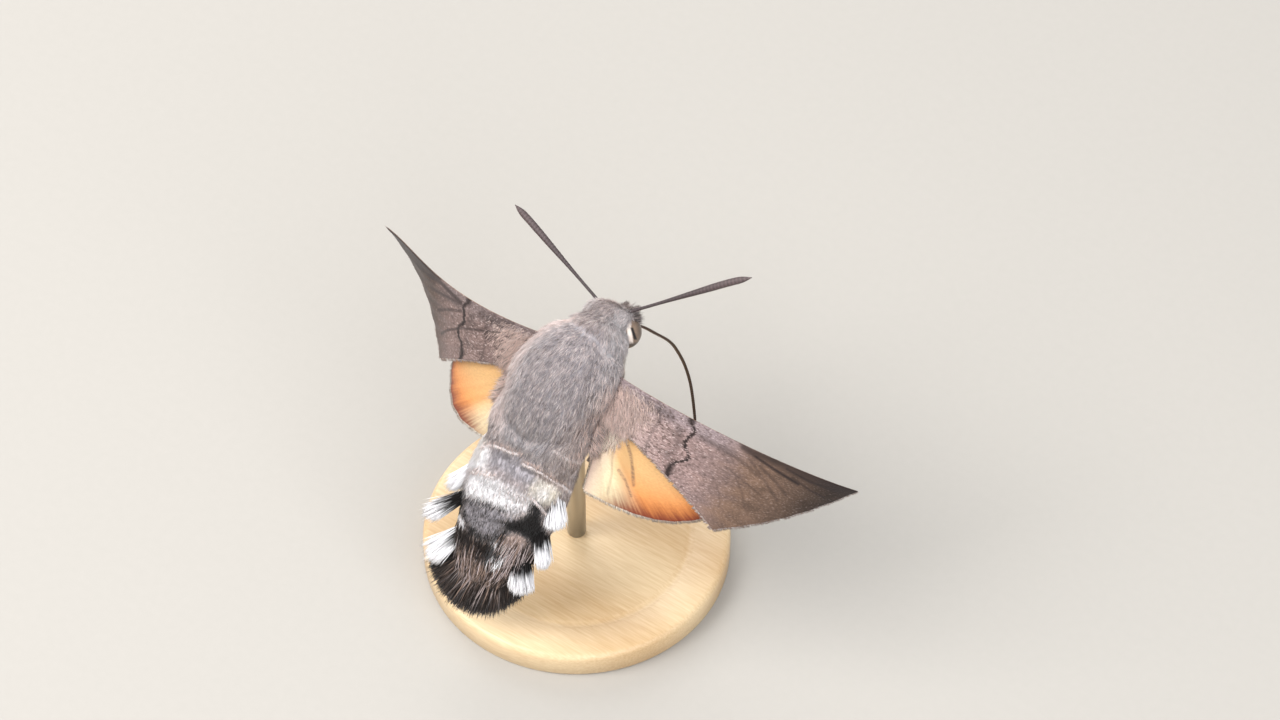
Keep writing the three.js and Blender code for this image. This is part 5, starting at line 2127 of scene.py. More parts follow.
def body_marks(region: Array, along: Array, turn_deg: Array, rng: Rng) -> Array:
    """Paint marks by region.

    Args:
        region: Region of each place.
        along: Place along the region.
        turn_deg: Degrees about it.
        rng: Source of chance.

    Returns:
        (n, 6) shares of each Mark.
    """
    marks = np.zeros(region.shape + (len(Mark),))
    for part, painter in ((Region.HEAD, head_marks), (Region.THORAX, thorax_marks),
                          (Region.ABDOMEN, abdomen_marks)):
        here = region == part
        marks[here] = painter(along[here], turn_deg[here], rng)
    marks[region == Region.TAIL, Mark.BROWN] = 1.0
    return marks


@dataclass
class BodyCoat(Assembly):
    """Fur of the head, thorax and abdomen, in pieces of one region each."""

    skin: Skin
    density: dict[Region, float] = field(default_factory=lambda: {
        Region.HEAD: 260.0, Region.THORAX: 230.0, Region.ABDOMEN: 200.0})
    most_hairs: int = 33000
    waist_density: float = 90.0
    rump_density: float = 60.0
    cleft_hairs: int = 2600
    # Hairs and share of the full length over each feeler's base.
    brows: dict[Side, tuple[int, float]] = field(default_factory=lambda: {
        Side.LEFT: (500, 0.55), Side.RIGHT: (2400, 1.0)})
    # Hairs along each ring's margin, with distances and turns along it.
    margins: tuple[tuple[int, Line], ...] = (
        (340, ((3.7, 160), (2.5, 124), (2.1, 107), (1.9, 90))),
        (430, ((2.5, 84), (2.35, 72), (2.73, 50), (3.3, 25), (4.0, 0))),
        (280, ((0.4, 52), (0.6, 33), (0.8, 17), (0.8, 0))),
        (150, ((6.1, 160), (5.11, 129), (4.72, 107))),
        (200, ((4.9, 64), (5.4, 52), (6.1, 38))),
    )

    def rooted(self, region: Region, rng: Rng, density: float,
               weight: Callable[[Array, Array], Array] | None = None) -> tuple[Array, ...]:
        """Root hairs all over one region of the skin.

        Args:
            region: Which region.
            rng: Source of chance.
            density: Hairs for each square millimetre.
            weight: Share of them for a place along the region and a turn about it.

        Returns:
            Roots, outward directions, directions of lie, places along and turns about.
        """
        skin = self.skin
        faces = skin.triangles[(skin.region[skin.triangles] == region).any(axis=1)]
        a, b, c = (skin.points[faces[:, k]] for k in range(3))
        area = np.linalg.norm(np.cross(b - a, c - a), axis=1) / 2
        if weight is not None:
            area = area * weight(skin.along[faces[:, 0]], skin.turn_deg[faces[:, 0]])
        count = int(area.sum() * density)
        face = rng.choice(len(faces), count, p=area / area.sum())
        share = rng.dirichlet((1.0, 1.0, 1.0), count)
        corner = faces[face]
        closest = corner[np.arange(count), share.argmax(axis=1)]
        mixed = [np.einsum("ik,ikj->ij", share, values[corner])
                 for values in (skin.points, skin.normals, skin.lie)]
        keep = skin.region[closest] == region
        normal = unit(mixed[1][keep])
        lie = flattened(mixed[2][keep], normal)
        return mixed[0][keep], normal, lie, skin.along[closest][keep], skin.turn_deg[closest][keep]

    @staticmethod
    def bake_place(region: Region, along: Array, turn_deg: Array) -> Array:
        """Unwrap the skin: its turn runs across the map and its length up it.

        Args:
            region: Which region.
            along: Place along the region.
            turn_deg: Degrees about it.

        Returns:
            (n, 2) places between 0 and 1.
        """
        start, share = {Region.HEAD: (0.01, 0.17), Region.THORAX: (0.2, 0.3),
                        Region.ABDOMEN: (0.52, 0.3 / 14)}[region]
        return np.stack([(turn_deg + 90.0) / 360.0, start + share * along], -1)

    def style(self, region: Region, along: Array, turn_deg: Array, rng: Rng
              ) -> tuple[Array, Array, Array]:
        """Choose length, width and lift of the coat at a place.

        Args:
            region: Which region.
            along: Place along the region.
            turn_deg: Degrees about it.
            rng: Source of chance.

        Returns:
            Lengths, widths and lifts in degrees.
        """
        count = len(along)
        chance = rng.random(count)
        if region is Region.HEAD:
            length = 0.5 + 0.35 * chance + 0.35 * ramp(along, 0.4, 0.65)
            return length, rng.uniform(0.035, 0.055, count), np.full(count, 21.0)
        if region is Region.THORAX:
            below = ramp(turn_deg, -10.0, -40.0) + ramp(turn_deg, 190.0, 220.0)
            length = 0.6 + 0.4 * chance + 0.3 * ramp(along, 0.6, 0.85) + 0.5 * below
            length *= 0.6 + 0.4 * ramp(along, 0.03, 0.18)
            return length, rng.uniform(0.038, 0.058, count), np.full(count, 15.0)
        # The white hair of the left flank stands out further than the rest.
        loose = band(along, 2.6, 6.8, 0.5) * ramp(turn_deg, 146.0, 166.0)
        return 0.5 + 0.3 * chance + 0.5 * loose, rng.uniform(0.045, 0.07, count), 13.0 + 16.0 * loose

    def build(self) -> None:
        """Make the coat of every region, and the longer hair over it."""
        slots = {Region.HEAD: "head", Region.THORAX: "thorax", Region.ABDOMEN: "abdomen"}
        for region, density in self.density.items():
            rng = np.random.default_rng(100 + region)
            root, normal, lie, along, turn = self.rooted(region, rng, density)
            length, width, lift = self.style(region, along, turn, rng)
            # A hair shows its outer half, so it takes the colour of the place under that.
            shown = along + 0.55 * length if region is Region.ABDOMEN else along
            marks = body_marks(np.full(len(along), int(region)), shown, turn, rng)
            place = self.bake_place(region, along, turn)
            parts = math.ceil(len(along) / self.most_hairs)
            order = np.argsort(along)
            for index, chosen in enumerate(np.array_split(order, parts)):
                hairs = Hairs(root[chosen], normal[chosen], lie[chosen], length[chosen], width[chosen],
                              marks[chosen], place[chosen], lift_deg=lift[chosen],
                              seed=110 + 10 * region + index)
                self.seat(hairs.build(f"{slots[region]}_coat_{index + 1}"), HAIR, slots[region])
        self.build_shawls()

    def build_shawls(self) -> None:
        """Lay long hair over the waist, the rump and the bases of the feelers."""
        for side in Side:
            middle = 28.0 if side is Side.RIGHT else 152.0

            def flank(along: Array, turn: Array, middle: float = middle) -> Array:
                """Grow on the flank behind the wing root."""
                return band(along, 0.4, 0.9, 0.08) * band(turn, middle - 24, middle + 24, 10)
            rng = np.random.default_rng(140 + side.value)
            root, normal, lie, along, turn = self.rooted(Region.THORAX, rng, self.waist_density, flank)
            count = len(along)
            low = ramp(np.abs(turn - 90), 48, 75)
            sideways = np.array([side.value, 0.0, 0.0]) * (0.1 + 0.4 * low)[:, None]
            lie = unit(lie + sideways + 0.12 * rng.normal(size=(count, 3)))
            marks = thorax_marks(along, turn, rng)
            marks[:, Mark.PINK] = np.maximum(marks[:, Mark.PINK], 0.7 * low * (rng.random(count) < 0.6))
            marks[:, Mark.BROWN] = np.maximum(marks[:, Mark.BROWN], 0.6 * low * rng.random(count))
            hairs = Hairs(root, normal, lie, rng.uniform(0.9, 1.9, count), rng.uniform(0.04, 0.06, count),
                          marks, self.bake_place(Region.THORAX, along, turn),
                          lift_deg=11, lay_deg=-6, rings=(0.2, 0.6), seed=145 + side.value)
            self.seat(hairs.build(f"waist_hair_{side.label}"), HAIR, "thorax")
        rng = np.random.default_rng(150)

        def rump(along: Array, turn: Array) -> Array:
            """Grow on the last rings' back and sides."""
            early = band(along, 8.9, 11.0, 0.3) * band(turn, 42, 76, 6)
            return np.maximum(early, band(along, 10.2, 14.0, 0.35) * (0.25 + band(turn, -10, 190, 10)))
        root, normal, lie, along, turn = self.rooted(Region.ABDOMEN, rng, self.rump_density, rump)
        count = len(along)
        marks = marked((count,), brown=1.0)
        lit = marked((), grey=0.8, pink=0.35), marked((), grey=0.9, pink=0.35)
        pale = (along < 11.0) & (turn < 78) & (turn > 38) & (rng.random(count) < 0.45)
        light = rng.random(count) < 0.22
        marks[light] = lit[0]
        aside = ramp(np.abs(turn - 96), 34, 56)
        marks[:, Mark.BLACK] = 0.92 * ~light * (rng.random(count) < 0.28 + 0.72 * aside)
        arc = (band(along, 9.8, 10.7, 0.2) * band(turn, 70, 150, 8)) > rng.random(count)
        marks[arc, Mark.BLACK] = 0.95
        marks[pale] = lit[1]
        spot = (band(along, 10.15, 11.2, 0.15) * band(turn, 66, 87, 4)) > rng.random(count)
        marks[spot, Mark.WHITE] = 1.0
        length = rng.uniform(1.4, 2.9, count)
        hairs = Hairs(root, normal, unit(lie + 0.07 * rng.normal(size=(count, 3))),
                      length, rng.uniform(0.06, 0.1, count), marks,
                      self.bake_place(Region.ABDOMEN, along, turn), lift_deg=9, lay_deg=-5,
                      rings=(0.15, 0.5, 0.8), clump=0.35, clump_pull=0.4, sway=0.07, seed=151)
        self.seat(hairs.build("rump_hair"), HAIR, "abdomen")
        self.build_margins(np.random.default_rng(170))
        for side in Side:
            self.build_armpit(side)
        for side in (Side.RIGHT, Side.LEFT):
            self.build_brow(side)

    def build_armpit(self, side: Side) -> None:
        """Fill the cleft between the flank and the root of the hindwing with hair.

        Args:
            side: Which flank.
        """
        rng = np.random.default_rng(155 + side.value)
        count = self.cleft_hairs
        share = rng.random(count)[:, None]
        flip = np.array([side.value, 1.0, 1.0])
        root = (np.array([4.0, -0.5, 0.0]) * (1 - share) + np.array([4.2, -3.1, -0.1]) * share
                + rng.normal(size=(count, 3)) * np.array([0.12, 0.12, 0.22])) * flip
        lie = unit(np.array([0.85, -0.75, -0.12]) + 0.2 * rng.normal(size=(count, 3))) * flip
        normal = np.broadcast_to(np.array([0.1, 0.1, 1.0]), lie.shape)
        normal = flattened(normal, lie)
        marks = marked((count,), brown=rng.random(count), pink=0.8 * (rng.random(count) < 0.5))
        spread = np.stack([rng.uniform(0.2, 0.3, count), 0.3 + 0.15 * rng.random(count)], -1)
        hairs = Hairs(root, normal, lie, rng.uniform(0.8, 1.6, count), rng.uniform(0.045, 0.065, count),
                      marks, spread, lift_deg=5, lay_deg=-5, sunk=0.0, seed=157 + side.value)
        self.seat(hairs.build(f"wing_cleft_hair_{side.label}"), HAIR, "thorax")

    def build_margins(self, rng: Rng) -> None:
        """Set a thin row of pale hair along the rear margins of the front rings.

        Args:
            rng: Source of chance.
        """
        along, turn = [], []
        for count, path in self.margins:
            table = np.array(path)
            share = rng.random(count)
            at = np.linspace(0, 1, len(table))
            along.append(np.interp(share, at, table[:, 0]) + rng.normal(0, 0.05, count))
            turn.append(np.interp(share, at, table[:, 1]) + rng.normal(0, 0.6, count))
        along, turn = np.concatenate(along), np.concatenate(turn)
        plain_points = ABDOMEN.at(along, np.radians(turn))
        near = nearest(self.skin.points, plain_points)
        normal = self.skin.normals[near]
        # Roots keep their own place along the row, at the skin's height.
        height = np.einsum("ij,ij->i", self.skin.points[near] - plain_points, normal)
        root = plain_points + normal * (height + 0.1)[:, None]
        marks = marked(along.shape, pink=rng.uniform(0.5, 1.0, len(along)),
                       white=rng.uniform(0.15, 0.85, len(along)))
        hairs = Hairs(root, normal, self.skin.lie[near], rng.uniform(0.2, 0.42, len(along)),
                      rng.uniform(0.035, 0.055, len(along)), marks,
                      self.bake_place(Region.ABDOMEN, along, turn), lift_deg=14, lay_deg=0, sunk=0.0,
                      clump_pull=0.1, sway=0.06, seed=171)
        self.seat(hairs.build("ring_margin_hair"), HAIR, "abdomen")

    def build_brow(self, side: Side) -> None:
        """Set the tuft that hides the base of a feeler.

        Args:
            side: Which feeler.
        """
        rng = np.random.default_rng(160 + side.value)
        count, reach = self.brows[side]
        flip = np.array([side.value, 1.0, 1.0])
        height = rng.normal(0.85, 0.3, count)
        start = rng.normal(1.75, 0.2, count) - 0.25 * ramp(height, 0.7, 1.4)
        root = (np.stack([start, height, rng.normal(0.75, 0.16, count)], -1) @ FACE) * flip
        aim = np.stack([np.ones(count), 0.25 * (height - 0.6), np.full(count, 0.05)], -1)
        lie = unit((aim + 0.16 * rng.normal(size=(count, 3))) @ FACE) * flip
        over = np.broadcast_to((np.array([0.0, 0.25, 1.0]) @ FACE) * flip, lie.shape)
        origin = HANGING.head_to_body(np.zeros(3))
        lie = HANGING.head_to_body(lie) - origin
        normal = HANGING.head_to_body(over) - origin
        normal = flattened(normal, lie)
        # The black hairs are painted shade on the front of the face; the brown ones are the hair's own
        # colour.
        dark = 0.25 + 0.35 * ramp(start, 1.6, 2.0)
        marks = marked((count,), brown=0.7 * rng.random(count), black=0.75 * (rng.random(count) < dark))
        spread = np.stack([rng.random(count), 0.01 + 0.04 * rng.random(count)], -1)
        hairs = Hairs(HANGING.head_to_body(root), normal, lie, reach * rng.uniform(0.45, 0.95, count),
                      rng.uniform(0.035, 0.055, count), marks, spread, lift_deg=6, lay_deg=-4,
                      sunk=0.0, seed=165 + side.value)
        self.seat(hairs.build(f"feeler_base_hair_{side.label}"), HAIR, "head")


@dataclass
class Tail(Assembly):
    """Fan of long hair scales that ends the abdomen."""

    hairs: int = 7500

    def build(self) -> None:
        """Lay the long scales out like a hand of cards."""
        rng = np.random.default_rng(51)
        count = self.hairs
        across = rng.uniform(-0.9, 0.93, count)
        start = rng.uniform(-0.12, 0.5, count)
        above = rng.normal(0.0, 0.35, count) * (1.0 - 0.6 * np.abs(across))
        root = TAIL_FAN.at(start, across * 0.94, above)
        end = TAIL_FAN.at(start + 0.1, across, above)
        lie = unit(end - root)
        rim = TAIL_FAN.at(np.full(count, 1.0), across, above)
        length = np.linalg.norm(rim - root, axis=-1) * rng.uniform(0.62, 1.0, count)
        length *= 1.0 - 0.22 * ramp(across, 0.35, 0.95)
        normal = unit(np.cross(np.cross(lie, np.array([0.0, -0.5, 0.85])), lie))
        normal *= np.sign(normal[:, 2:3])
        streaked = (rng.random(count) < 0.36) * ramp(np.abs(across), 0.72, 0.5)
        black = np.maximum(0.9 * (rng.random(count) < 0.5) * (1.0 - streaked),
                           ramp(np.abs(across) + rng.normal(0, 0.1, count), 0.6, 0.85))
        brown = 1.0 - 0.8 * streaked
        marks = marked((count,), brown=brown, grey=streaked, pink=0.4 * streaked, black=black)
        tips = marked((count,), brown=brown, black=np.maximum(black, rng.uniform(0.7, 1.0, count)))
        place = np.stack([0.1 + 0.8 * (across + 1) / 2, 0.05 + 0.9 * (start + 0.12)], -1)
        fan = Hairs(root, normal, lie, length, rng.uniform(0.1, 0.17, count), marks, place, lift_deg=2,
                    lay_deg=-2, lift_spread_deg=3.0, rings=(0.1, 0.45, 0.8), thickness=0.3, sunk=0.05,
                    clump=0.6, clump_pull=0.35, sway=0.05, tip_marks=tips,
                    change_at=rng.uniform(0.25, 0.6, count), seed=52)
        self.seat(fan.build("tail_fan_scales"), HAIR, "tail_fan", "tail_fan")


@dataclass(frozen=True)
class Tuft:
    """Shape and colours of one side tuft.

    The shares run across the tuft, from -1 at the body to 1 at its outer edge.
    """

    distance: float
    length: float
    half_width: float
    out_deg: float
    fan_deg: float
    dark_from: float
    dark_to: float
    change_at: float
    streaks: float = 0.0


@dataclass
class SideTufts(Assembly):
    """Three hair tufts on each flank of the abdomen."""

    tufts: dict[tuple[Side, str], Tuft] = field(default_factory=lambda: {
        (Side.LEFT, "front"): Tuft(4.3, 4.03, 0.4, 27.0, 8.0, 2.0, 2.0, 0.3, 0.06),
        (Side.LEFT, "middle"): Tuft(7.9, 4.59, 0.55, 39.0, 6.5, -1.5, 1.5, 0.64, 0.25),
        (Side.LEFT, "rear"): Tuft(11.2, 4.46, 0.8, 29.0, 12.0, -1.5, 0.6, 0.46, 0.1),
        (Side.RIGHT, "front"): Tuft(4.3, 2.34, 0.8, 20.0, 22.0, -1.5, 0.0, 0.5, 0.2),
        (Side.RIGHT, "middle"): Tuft(7.9, 2.66, 0.6, 26.0, 8.0, -1.5, 1.5, 0.57, 0.2),
        (Side.RIGHT, "rear"): Tuft(11.2, 2.59, 1.1, 16.0, 22.0, -1.5, 1.5, 0.56, 0.25),
    })
    lift: float = 0.35
    sunk: float = 1.2
    hairs: int = 1500

    def tuft(self, side: Side, name: str, tuft: Tuft, seed: int) -> None:
        """Make one tuft.

        Args:
            side: Which flank.
            name: Which of the three.
            tuft: Its shape and colours.
            seed: Number that fixes its chance.
        """
        rng = np.random.default_rng(seed)
        count = self.hairs
        centre, lean, _ = ABDOMEN.axis(np.array(tuft.distance))
        flank = float(eased_table(ABDOMEN.profile, np.array(tuft.distance), 1))
        sideways = np.array([side.value, 0.0, 0.0])
        back = np.array([0.0, -math.cos(lean), -math.sin(lean)])
        over = np.array([0.0, -math.sin(lean), math.cos(lean)])
        place = rng.uniform(-1, 1, count)
        layer = rng.normal(0, 0.26, count)
        turn = np.radians(tuft.out_deg + place * tuft.fan_deg / 2 + rng.normal(0, 1.2, count))
        lie = unit(back * np.cos(turn)[:, None] + sideways * np.sin(turn)[:, None] + over * 0.1)
        middle = math.radians(tuft.out_deg)
        aim = back * math.cos(middle) + sideways * math.sin(middle)
        reach = tuft.length + self.sunk
        start = rng.uniform(0.02, 0.5, count) ** 1.3
        root = (centre + sideways * (flank - self.sunk) + np.array([0, 0, self.lift])
                + aim * (start * reach)[:, None]
                + (sideways * math.cos(middle) - back * math.sin(middle))
                * (place * tuft.half_width * (0.55 - 0.3 * start))[:, None] + over * layer[:, None])
        strand = (reach * (1.0 - 0.1 * place**2) - start * reach) * rng.uniform(0.72, 1.0, count)
        normal = unit(over - lie * (lie @ over)[:, None])
        dark = band(place + rng.normal(0, 0.12, count), tuft.dark_from, tuft.dark_to, 0.12)
        streaked = 0.8 * (rng.random(count) < tuft.streaks)
        marks = marked((count,), white=1.0, black=np.maximum(dark, streaked))
        tips = marked((count,), white=1.0, black=0.7 * (rng.random(count) < tuft.streaks * 0.12))
        # The colour changes at one place along the tuft, wherever the hair is rooted.
        change = (tuft.change_at - start) / (1.0 - start) + rng.normal(0, 0.04, count)
        spots = np.stack([0.1 + 0.8 * (place + 1) / 2, 0.1 + 0.8 * start], -1)
        hairs = Hairs(root, normal, lie, strand, rng.uniform(0.075, 0.125, count), marks, spots,
                      lift_deg=2, lay_deg=-1, lift_spread_deg=2.5, rings=(0.12, 0.42, 0.6, 0.85),
                      thickness=0.3, sunk=0.0, clump=0.4, clump_pull=0.25, sway=0.035, tip_marks=tips,
                      change_at=change, seed=seed + 1)
        self.seat(hairs.build(f"side_tuft_hair_{name}_{side.label}"), HAIR, "side_tuft",
                  f"side_tuft_{name}_{side.label}")

    def build(self) -> None:
        """Make all six tufts."""
        for index, ((side, name), tuft) in enumerate(self.tufts.items()):
            self.tuft(side, name, tuft, 60 + 10 * index)


@dataclass
class Eyes(Assembly):
    """Two large compound eyes, each of one smooth faceted dome."""

    out: float = 1.72
    forward: float = 0.35
    up: float = -0.1
    radius: float = 1.3
    flat: float = 0.86

    def build(self) -> None:
        """Make both eyes with their bands and slits."""
        for side in Side:
            local, triangles = closed_rings(*ball(60, 90, 0.04))
            centre = np.array([side.value * self.out, self.forward, self.up])
            size = np.array([self.flat, 1, 1]) * self.radius
            points = HANGING.head_to_body(centre + local * size)
            eye = new_mesh(f"eye_dome_{side.label}", HANGING.to_world(points), triangles)
            facing = local * np.array([self.flat * side.value, 1, 1])
            across, up = facing @ FACE[0], facing @ FACE[1]
            # Painted shade on the facets that face forward and down.
            shade = np.maximum(0.55 * ramp(across, 0.5, 0.9), 0.8 * ramp(up, -0.45, -0.8))
            rim = ramp(np.abs(across - 0.15 + 0.15 * up), 0.17, 0.12) * ramp(up, -0.75, -0.5)
            slit = ramp(np.abs(across - 0.385 + 0.34 * up), 0.115, 0.065) * band(up, -0.38, 0.26, 0.12)
            set_vectors(eye, "eye_place", np.stack([shade, slit, rim], -1))
            self.seat(eye, EyeFacets(), "eye", f"eye_{side.label}")


@dataclass
class Feelers(Assembly):
    """Two ringed antennae that thicken to a club and taper at the tip."""

    root: Point = (1.2, 1.25, 1.1)
    length: float = 12.2
    stem: float = 0.13
    club: float = 0.29
    club_at: float = 0.8
    bow: float = 0.1
    sunk: float = 0.8
    segment: float = 0.16
    sides: int = 14
    aim: dict[Side, Point] = field(default_factory=lambda: {
        Side.LEFT: (-0.90, 0.34, 0.26), Side.RIGHT: (0.86, 0.36, 0.36)})

    def build(self) -> None:
        """Make both antennae."""
        for side in Side:
            along = unit(np.array(self.aim[side]))
            root = np.array(self.root) * np.array([side.value, 1, 1])
            tip = root + along * self.length
            bow = root + (tip - root) * 0.55 + np.array([0, 0, self.bow])
            path = smooth_path([root - along * self.sunk, (root + bow) / 2, bow,
                                bow + (tip - bow) * 0.6 + np.array([0, 0, self.bow]), tip], 260)
            share = np.linspace(0, 1, len(path))
            thick = self.stem + (self.club - self.stem) * ramp(share, 0.25, self.club_at)
            thick *= np.sqrt(1 - 0.985 * ramp(share, 0.86, 1.0) ** 2)
            # Segments show as low rings.
            thick = thick * (1 + 0.07 * np.sin(share * self.length / self.segment * 2 * math.pi))
            points, triangles = tube(HANGING.head_to_body(path), thick, thick, (0, 0, 1), self.sides)
            feeler = new_mesh(f"feeler_{side.label}", HANGING.to_world(points), triangles)
            run = np.concatenate([[0.0], np.repeat(share, self.sides), [1.0]])
            set_vectors(feeler, "run", np.stack([run * self.length, 0.35 + 0.65 * ramp(run, 0.4, 0.9),
                                                 np.zeros(len(run))], -1))
            self.seat(feeler, Chitin(), "antenna", f"antenna_{side.label}")


@dataclass
class Tongue(Assembly):
    """Long proboscis of two grooved halves laid together."""

    run: Line = (
        (0.9, -1.3), (3.3, -2.85), (5.15, -5.6), (6.45, -7.85), (7.05, -9.7), (7.42, -11.8),
        (7.45, -14.2), (7.0, -17.2), (6.3, -20.2), (5.6, -22.8),
    )
    half: float = 0.105
    tip_half: float = 0.07
    apart: float = 0.085
    deeper: float = 1.35
    rib: float = 0.2
    sides: int = 12
    horn: Finish = Chitin(name="horny_tongue", light="#4a3226", dark="#2b1b14", ring=0.1, roughness=0.38)

    def build(self) -> None:
        """Make the two halves as one ribbed piece."""
        path = smooth_path([(0.0, forward, up) for forward, up in self.run], 420)
        share = np.linspace(0, 1, len(path))
        thick = (self.half + (self.tip_half - self.half) * share) * (1 - 0.5 * ramp(share, 0.985, 1.0))
        length = float(np.linalg.norm(np.diff(path, axis=0), axis=1).sum())
        ribs = 1 + 0.06 * np.sin(share * length / self.rib * 2 * math.pi)
        halves = []
        for sign in (-1, 1):
            lane = path + np.array([sign * self.apart, 0, 0]) * (thick / self.half)[:, None]
            halves.append(tube(HANGING.head_to_body(lane), thick * ribs, self.deeper * thick * ribs,
                               (0.2, 0.5, 1), self.sides))
        points, triangles = joined(halves)
        tongue = new_mesh("tongue", HANGING.to_world(points), triangles)
        run = np.tile(np.concatenate([[0.0], np.repeat(share, self.sides), [1.0]]), 2)
        set_vectors(tongue, "run", np.stack([run * length, 1 - run, run * 0], -1))
        self.seat(tongue, self.horn, "proboscis", "proboscis_base", "proboscis_middle", "proboscis_tip")


@dataclass
class Palps(Assembly):
    """Two furry palps under the face, with the tongue between them."""

    root: Point = (0.66, 1.1, -0.9)
    tip: Point = (0.58, 3.25, -0.7)
    half_width: float = 0.42
    half_height: float = 0.85
    depth: float = 0.16
    hairs: int = 2600
    hair_width: float = 0.045

    def surface(self, side: Side, along: Array, turn: Array) -> Array:
        """Find points of the core.

        Args:
            side: Which palp.
            along: 0 at the root to 1 at the tip.
            turn: Radians about it.

        Returns:
            Points in the body's frame.
        """
        flip = np.array([side.value, 1, 1])
        a, b = np.array(self.root) * flip, np.array(self.tip) * flip
        m = (a + b) / 2 - np.array([0, 0, 0.2])
        t = along[..., None]
        middle = (1 - t) ** 2 * a + 2 * t * (1 - t) * m + t * t * b
        size = np.sqrt(np.maximum(0.09, 1 - ((along - 0.35) / 0.68) ** 2))
        x = np.cos(turn) * (self.half_width - self.depth) * size
        z = np.sin(turn) * (self.half_height - self.depth) * size
        return HANGING.head_to_body(middle + np.stack([x, np.zeros(x.shape), z], -1))

    def build(self) -> None:
        """Make both palps and their fur."""
        for side in Side:
            def over_core(a: Array, t: Array, side: Side = side) -> Array:
                """Surface that the roots stand on."""
                return self.surface(side, a, t)
            turn = circle(32)
            rings = over_core(*np.meshgrid(np.linspace(0, 0.97, 30), turn, indexing="ij"))
            points, triangles = closed_rings(rings, rings[0].mean(axis=0), rings[-1].mean(axis=0))
            core = new_mesh(f"palp_core_{side.label}", HANGING.to_world(points), triangles)
            rng = np.random.default_rng(70 + (side is Side.RIGHT))
            strand = rng.random((2, len(points)))
            strand = np.stack([strand[0], np.full(len(points), 0.3), strand[1]], -1)
            set_marks(core, marked((len(points),), brown=0.6), strand)
            self.seat(core, HAIR_BASES, "palp", f"palp_{side.label}")
            along, turn = scatter(rng, over_core, self.hairs, (0.0, 0.97))
            root, normal, rearward = local_frame(over_core, along, turn)
            upper = np.sin(turn) > 0.2
            marks = marked((self.hairs,), cream=np.where(upper, 0.0, 0.7),
                           brown=np.where(upper, 0.8 * rng.random(self.hairs), 0.0),
                           black=np.where(upper, 0.6 * (rng.random(self.hairs) < 0.25), 0.0),
                           white=np.where(upper, 0.0, 0.4) * rng.random(self.hairs))
            hairs = Hairs(root, normal, rearward, rng.uniform(0.5, 0.75, self.hairs),
                          np.full(self.hairs, self.hair_width), marks,
                          np.stack([turn / (2 * math.pi), along], -1), lift_deg=24, sunk=0.06, seed=72)
            self.seat(hairs.build(f"palp_fur_{side.label}"), HAIR, "palp")


@dataclass
class Legs(Assembly):
    """Six thin legs folded under the body as in flight."""

    thick: float = 0.32
    length: float = 9.0
    sides: int = 12
    scales: Finish = Chitin(name="leg_scales", light="#c9b8ac", dark="#86756c", ring=0.5, roughness=0.65)
    pairs: tuple[tuple[str, tuple[Point, ...]], ...] = (
        ("fore", ((1.5, 2.4, -3.0), (1.9, 2.2, -4.9), (2.2, 0.4, -5.1), (2.0, -1.6, -4.9))),
        ("mid", ((2.3, 0.6, -2.6), (3.2, 0.5, -4.4), (3.5, -2.0, -4.7), (3.0, -5.2, -4.7))),
        ("hind", ((1.6, -2.6, -3.0), (1.7, -3.6, -5.0), (1.8, -6.6, -5.6), (1.6, -10.4, -6.9))),
    )

    def build(self) -> None:
        """Make each leg of thigh, shin and foot."""
        for side in Side:
            for name, points in self.pairs:
                path = smooth_path([(side.value * x, y, z) for x, y, z in points], 120)
                share = np.linspace(0, 1, len(path))
                thick = self.thick * (1 - 0.55 * ramp(share, 0.5, 0.75))
                for joint in (0.32, 0.6):
                    thick = thick * (1 - 0.3 * np.exp(-(((share - joint) / 0.02) ** 2)))
                mesh = tube(path, thick, thick, (1, 0, 0), self.sides)
                leg = new_mesh(f"leg_limb_{name}_{side.label}", HANGING.to_world(mesh[0]), mesh[1])
                run = np.concatenate([[0.0], np.repeat(share, self.sides), [1.0]])
                set_vectors(leg, "run", np.stack([run * self.length, np.full(len(run), 0.8), run * 0], -1))
                self.seat(leg, self.scales, "leg", f"leg_{name}_{side.label}")


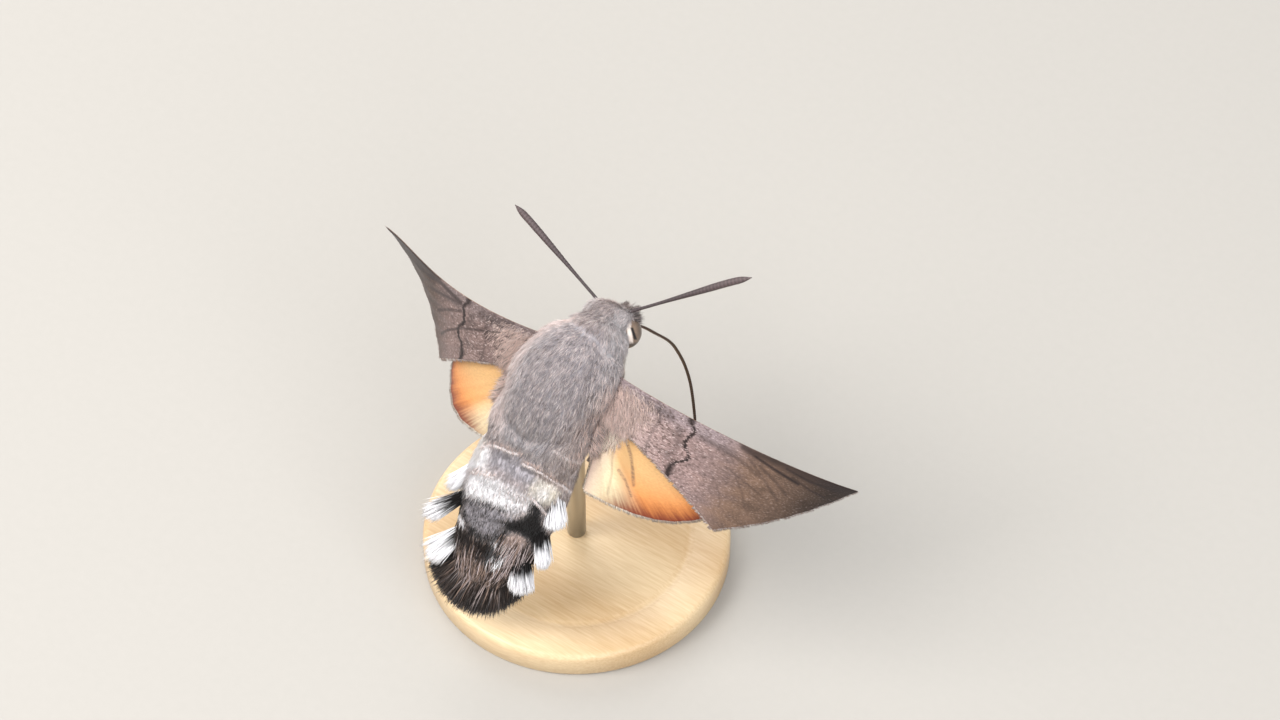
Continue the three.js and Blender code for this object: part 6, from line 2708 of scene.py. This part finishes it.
@dataclass
class Studio(Assembly):
    """Floor, soft lights and the photo's camera."""

    lens: float = 135.0
    centre: Point = (135.43, -190.5, 334.2)
    azimuth_deg: float = 34.1
    elevation_deg: float = 52.8
    floor_half: float = 3.0
    # Name, place in millimetres, width in metres, watts and linear colour.
    lamps: tuple[tuple[str, Point, float, float, Point], ...] = (
        ("key", (-230, -290, 420), 0.34, 3.4, (1.0, 0.98, 0.96)),
        ("fill", (380, -240, 300), 0.40, 2.1, (0.94, 0.97, 1.0)),
        ("rim", (-280, 220, 320), 0.3, 1.1, (1.0, 0.99, 0.97)),
    )

    def camera(self) -> None:
        """Stand the camera where the photo was taken from."""
        a, e = math.radians(self.azimuth_deg), math.radians(self.elevation_deg)
        look = Vector((-math.sin(a) * math.cos(e), math.cos(a) * math.cos(e), -math.sin(e)))
        right = Vector((math.cos(a), math.sin(a), 0))
        up = right.cross(look)
        data = bpy.data.cameras.new("photo_camera")
        data.lens, data.sensor_width = self.lens, 36.0
        data.clip_start, data.clip_end = 0.01, 10.0
        camera = bpy.data.objects.new("photo_camera", data)
        turn = Matrix((right, up, -look)).transposed().to_4x4()
        turn.translation = Vector(self.centre) * MM
        camera.matrix_world = turn
        bpy.context.scene.collection.objects.link(camera)
        bpy.context.scene.camera = camera

    def light(self, name: str, place_mm: Point, size: float, watts: float,
              colour: Point) -> None:
        """Hang one soft lamp that points at the moth.

        Args:
            name: Name of the lamp.
            place_mm: Where it hangs.
            size: Width of its square in metres.
            watts: Its power.
            colour: Its linear colour.
        """
        data = bpy.data.lights.new(name, "AREA")
        data.shape, data.size, data.energy, data.color = "SQUARE", size, watts, colour
        lamp = bpy.data.objects.new(name, data)
        place = Vector(place_mm) * MM
        aim = Vector((0, 0, 20)) * MM - place
        lamp.matrix_world = Matrix.Translation(place) @ aim.to_track_quat("-Z", "Y").to_matrix().to_4x4()
        bpy.context.scene.collection.objects.link(lamp)

    def build(self) -> None:
        """Lay the floor, hang the lamps and set the camera."""
        half = self.floor_half
        points = np.array([(-half, -half, 0), (half, -half, 0), (half, half, 0), (-half, half, 0)])
        floor = new_mesh("studio_floor", points, np.array([(0, 1, 2), (0, 2, 3)]))
        self.made.append((floor, StudioPaper()))
        for lamp in self.lamps:
            self.light(*lamp)
        world = bpy.data.worlds.new("soft_room")
        world.use_nodes = True
        sky = world.node_tree.nodes["Background"]
        sky.inputs[0].default_value = (0.95, 0.97, 1.0, 1.0)
        sky.inputs[1].default_value = 0.68
        bpy.context.scene.world = world
        bpy.context.scene.view_settings.view_transform = "Standard"
        self.camera()


def wings() -> list[Assembly]:
    """List the four wings with their sizes.

    Returns:
        Two forewings and two hindwings.
    """
    lift = {Side.LEFT: 0.24, Side.RIGHT: 0.03}
    out: list[Assembly] = []
    # The left forewing's colours are darker, as in the photo: painted shade, on a copy of the forewing
    # scales.
    scales = {Side.RIGHT: ForewingScales(), Side.LEFT: ForewingScales(
        name="forewing_scales_left", base="#5e4d49", middle="#76625d", outer="#402d22", costal="#70615f")}
    for side in Side:
        out.append(Forewing(side, inset=2.0, span_steps=190, chord_steps=110, finish=scales[side]))
        out.append(Hindwing(side, inset=1.2, span_steps=100, chord_steps=96, finish=HindwingScales(),
                            lift=lift[side], pleat=0.05))
    return out


def main() -> None:
    """Build every sub-assembly in order and dress it."""
    logging.basicConfig(level=logging.INFO, format="%(message)s")
    skin = Skin()
    assemblies = [Stand(), skin, BodyCoat(skin), Tail(), SideTufts(), *wings(), Eyes(), Feelers(),
                  Tongue(), Palps(), Legs(), Studio()]
    for assembly in assemblies:
        assembly.build()
        assembly.dress()
        LOG.info("%s done", type(assembly).__name__)


if __name__ == "__main__":
    main()
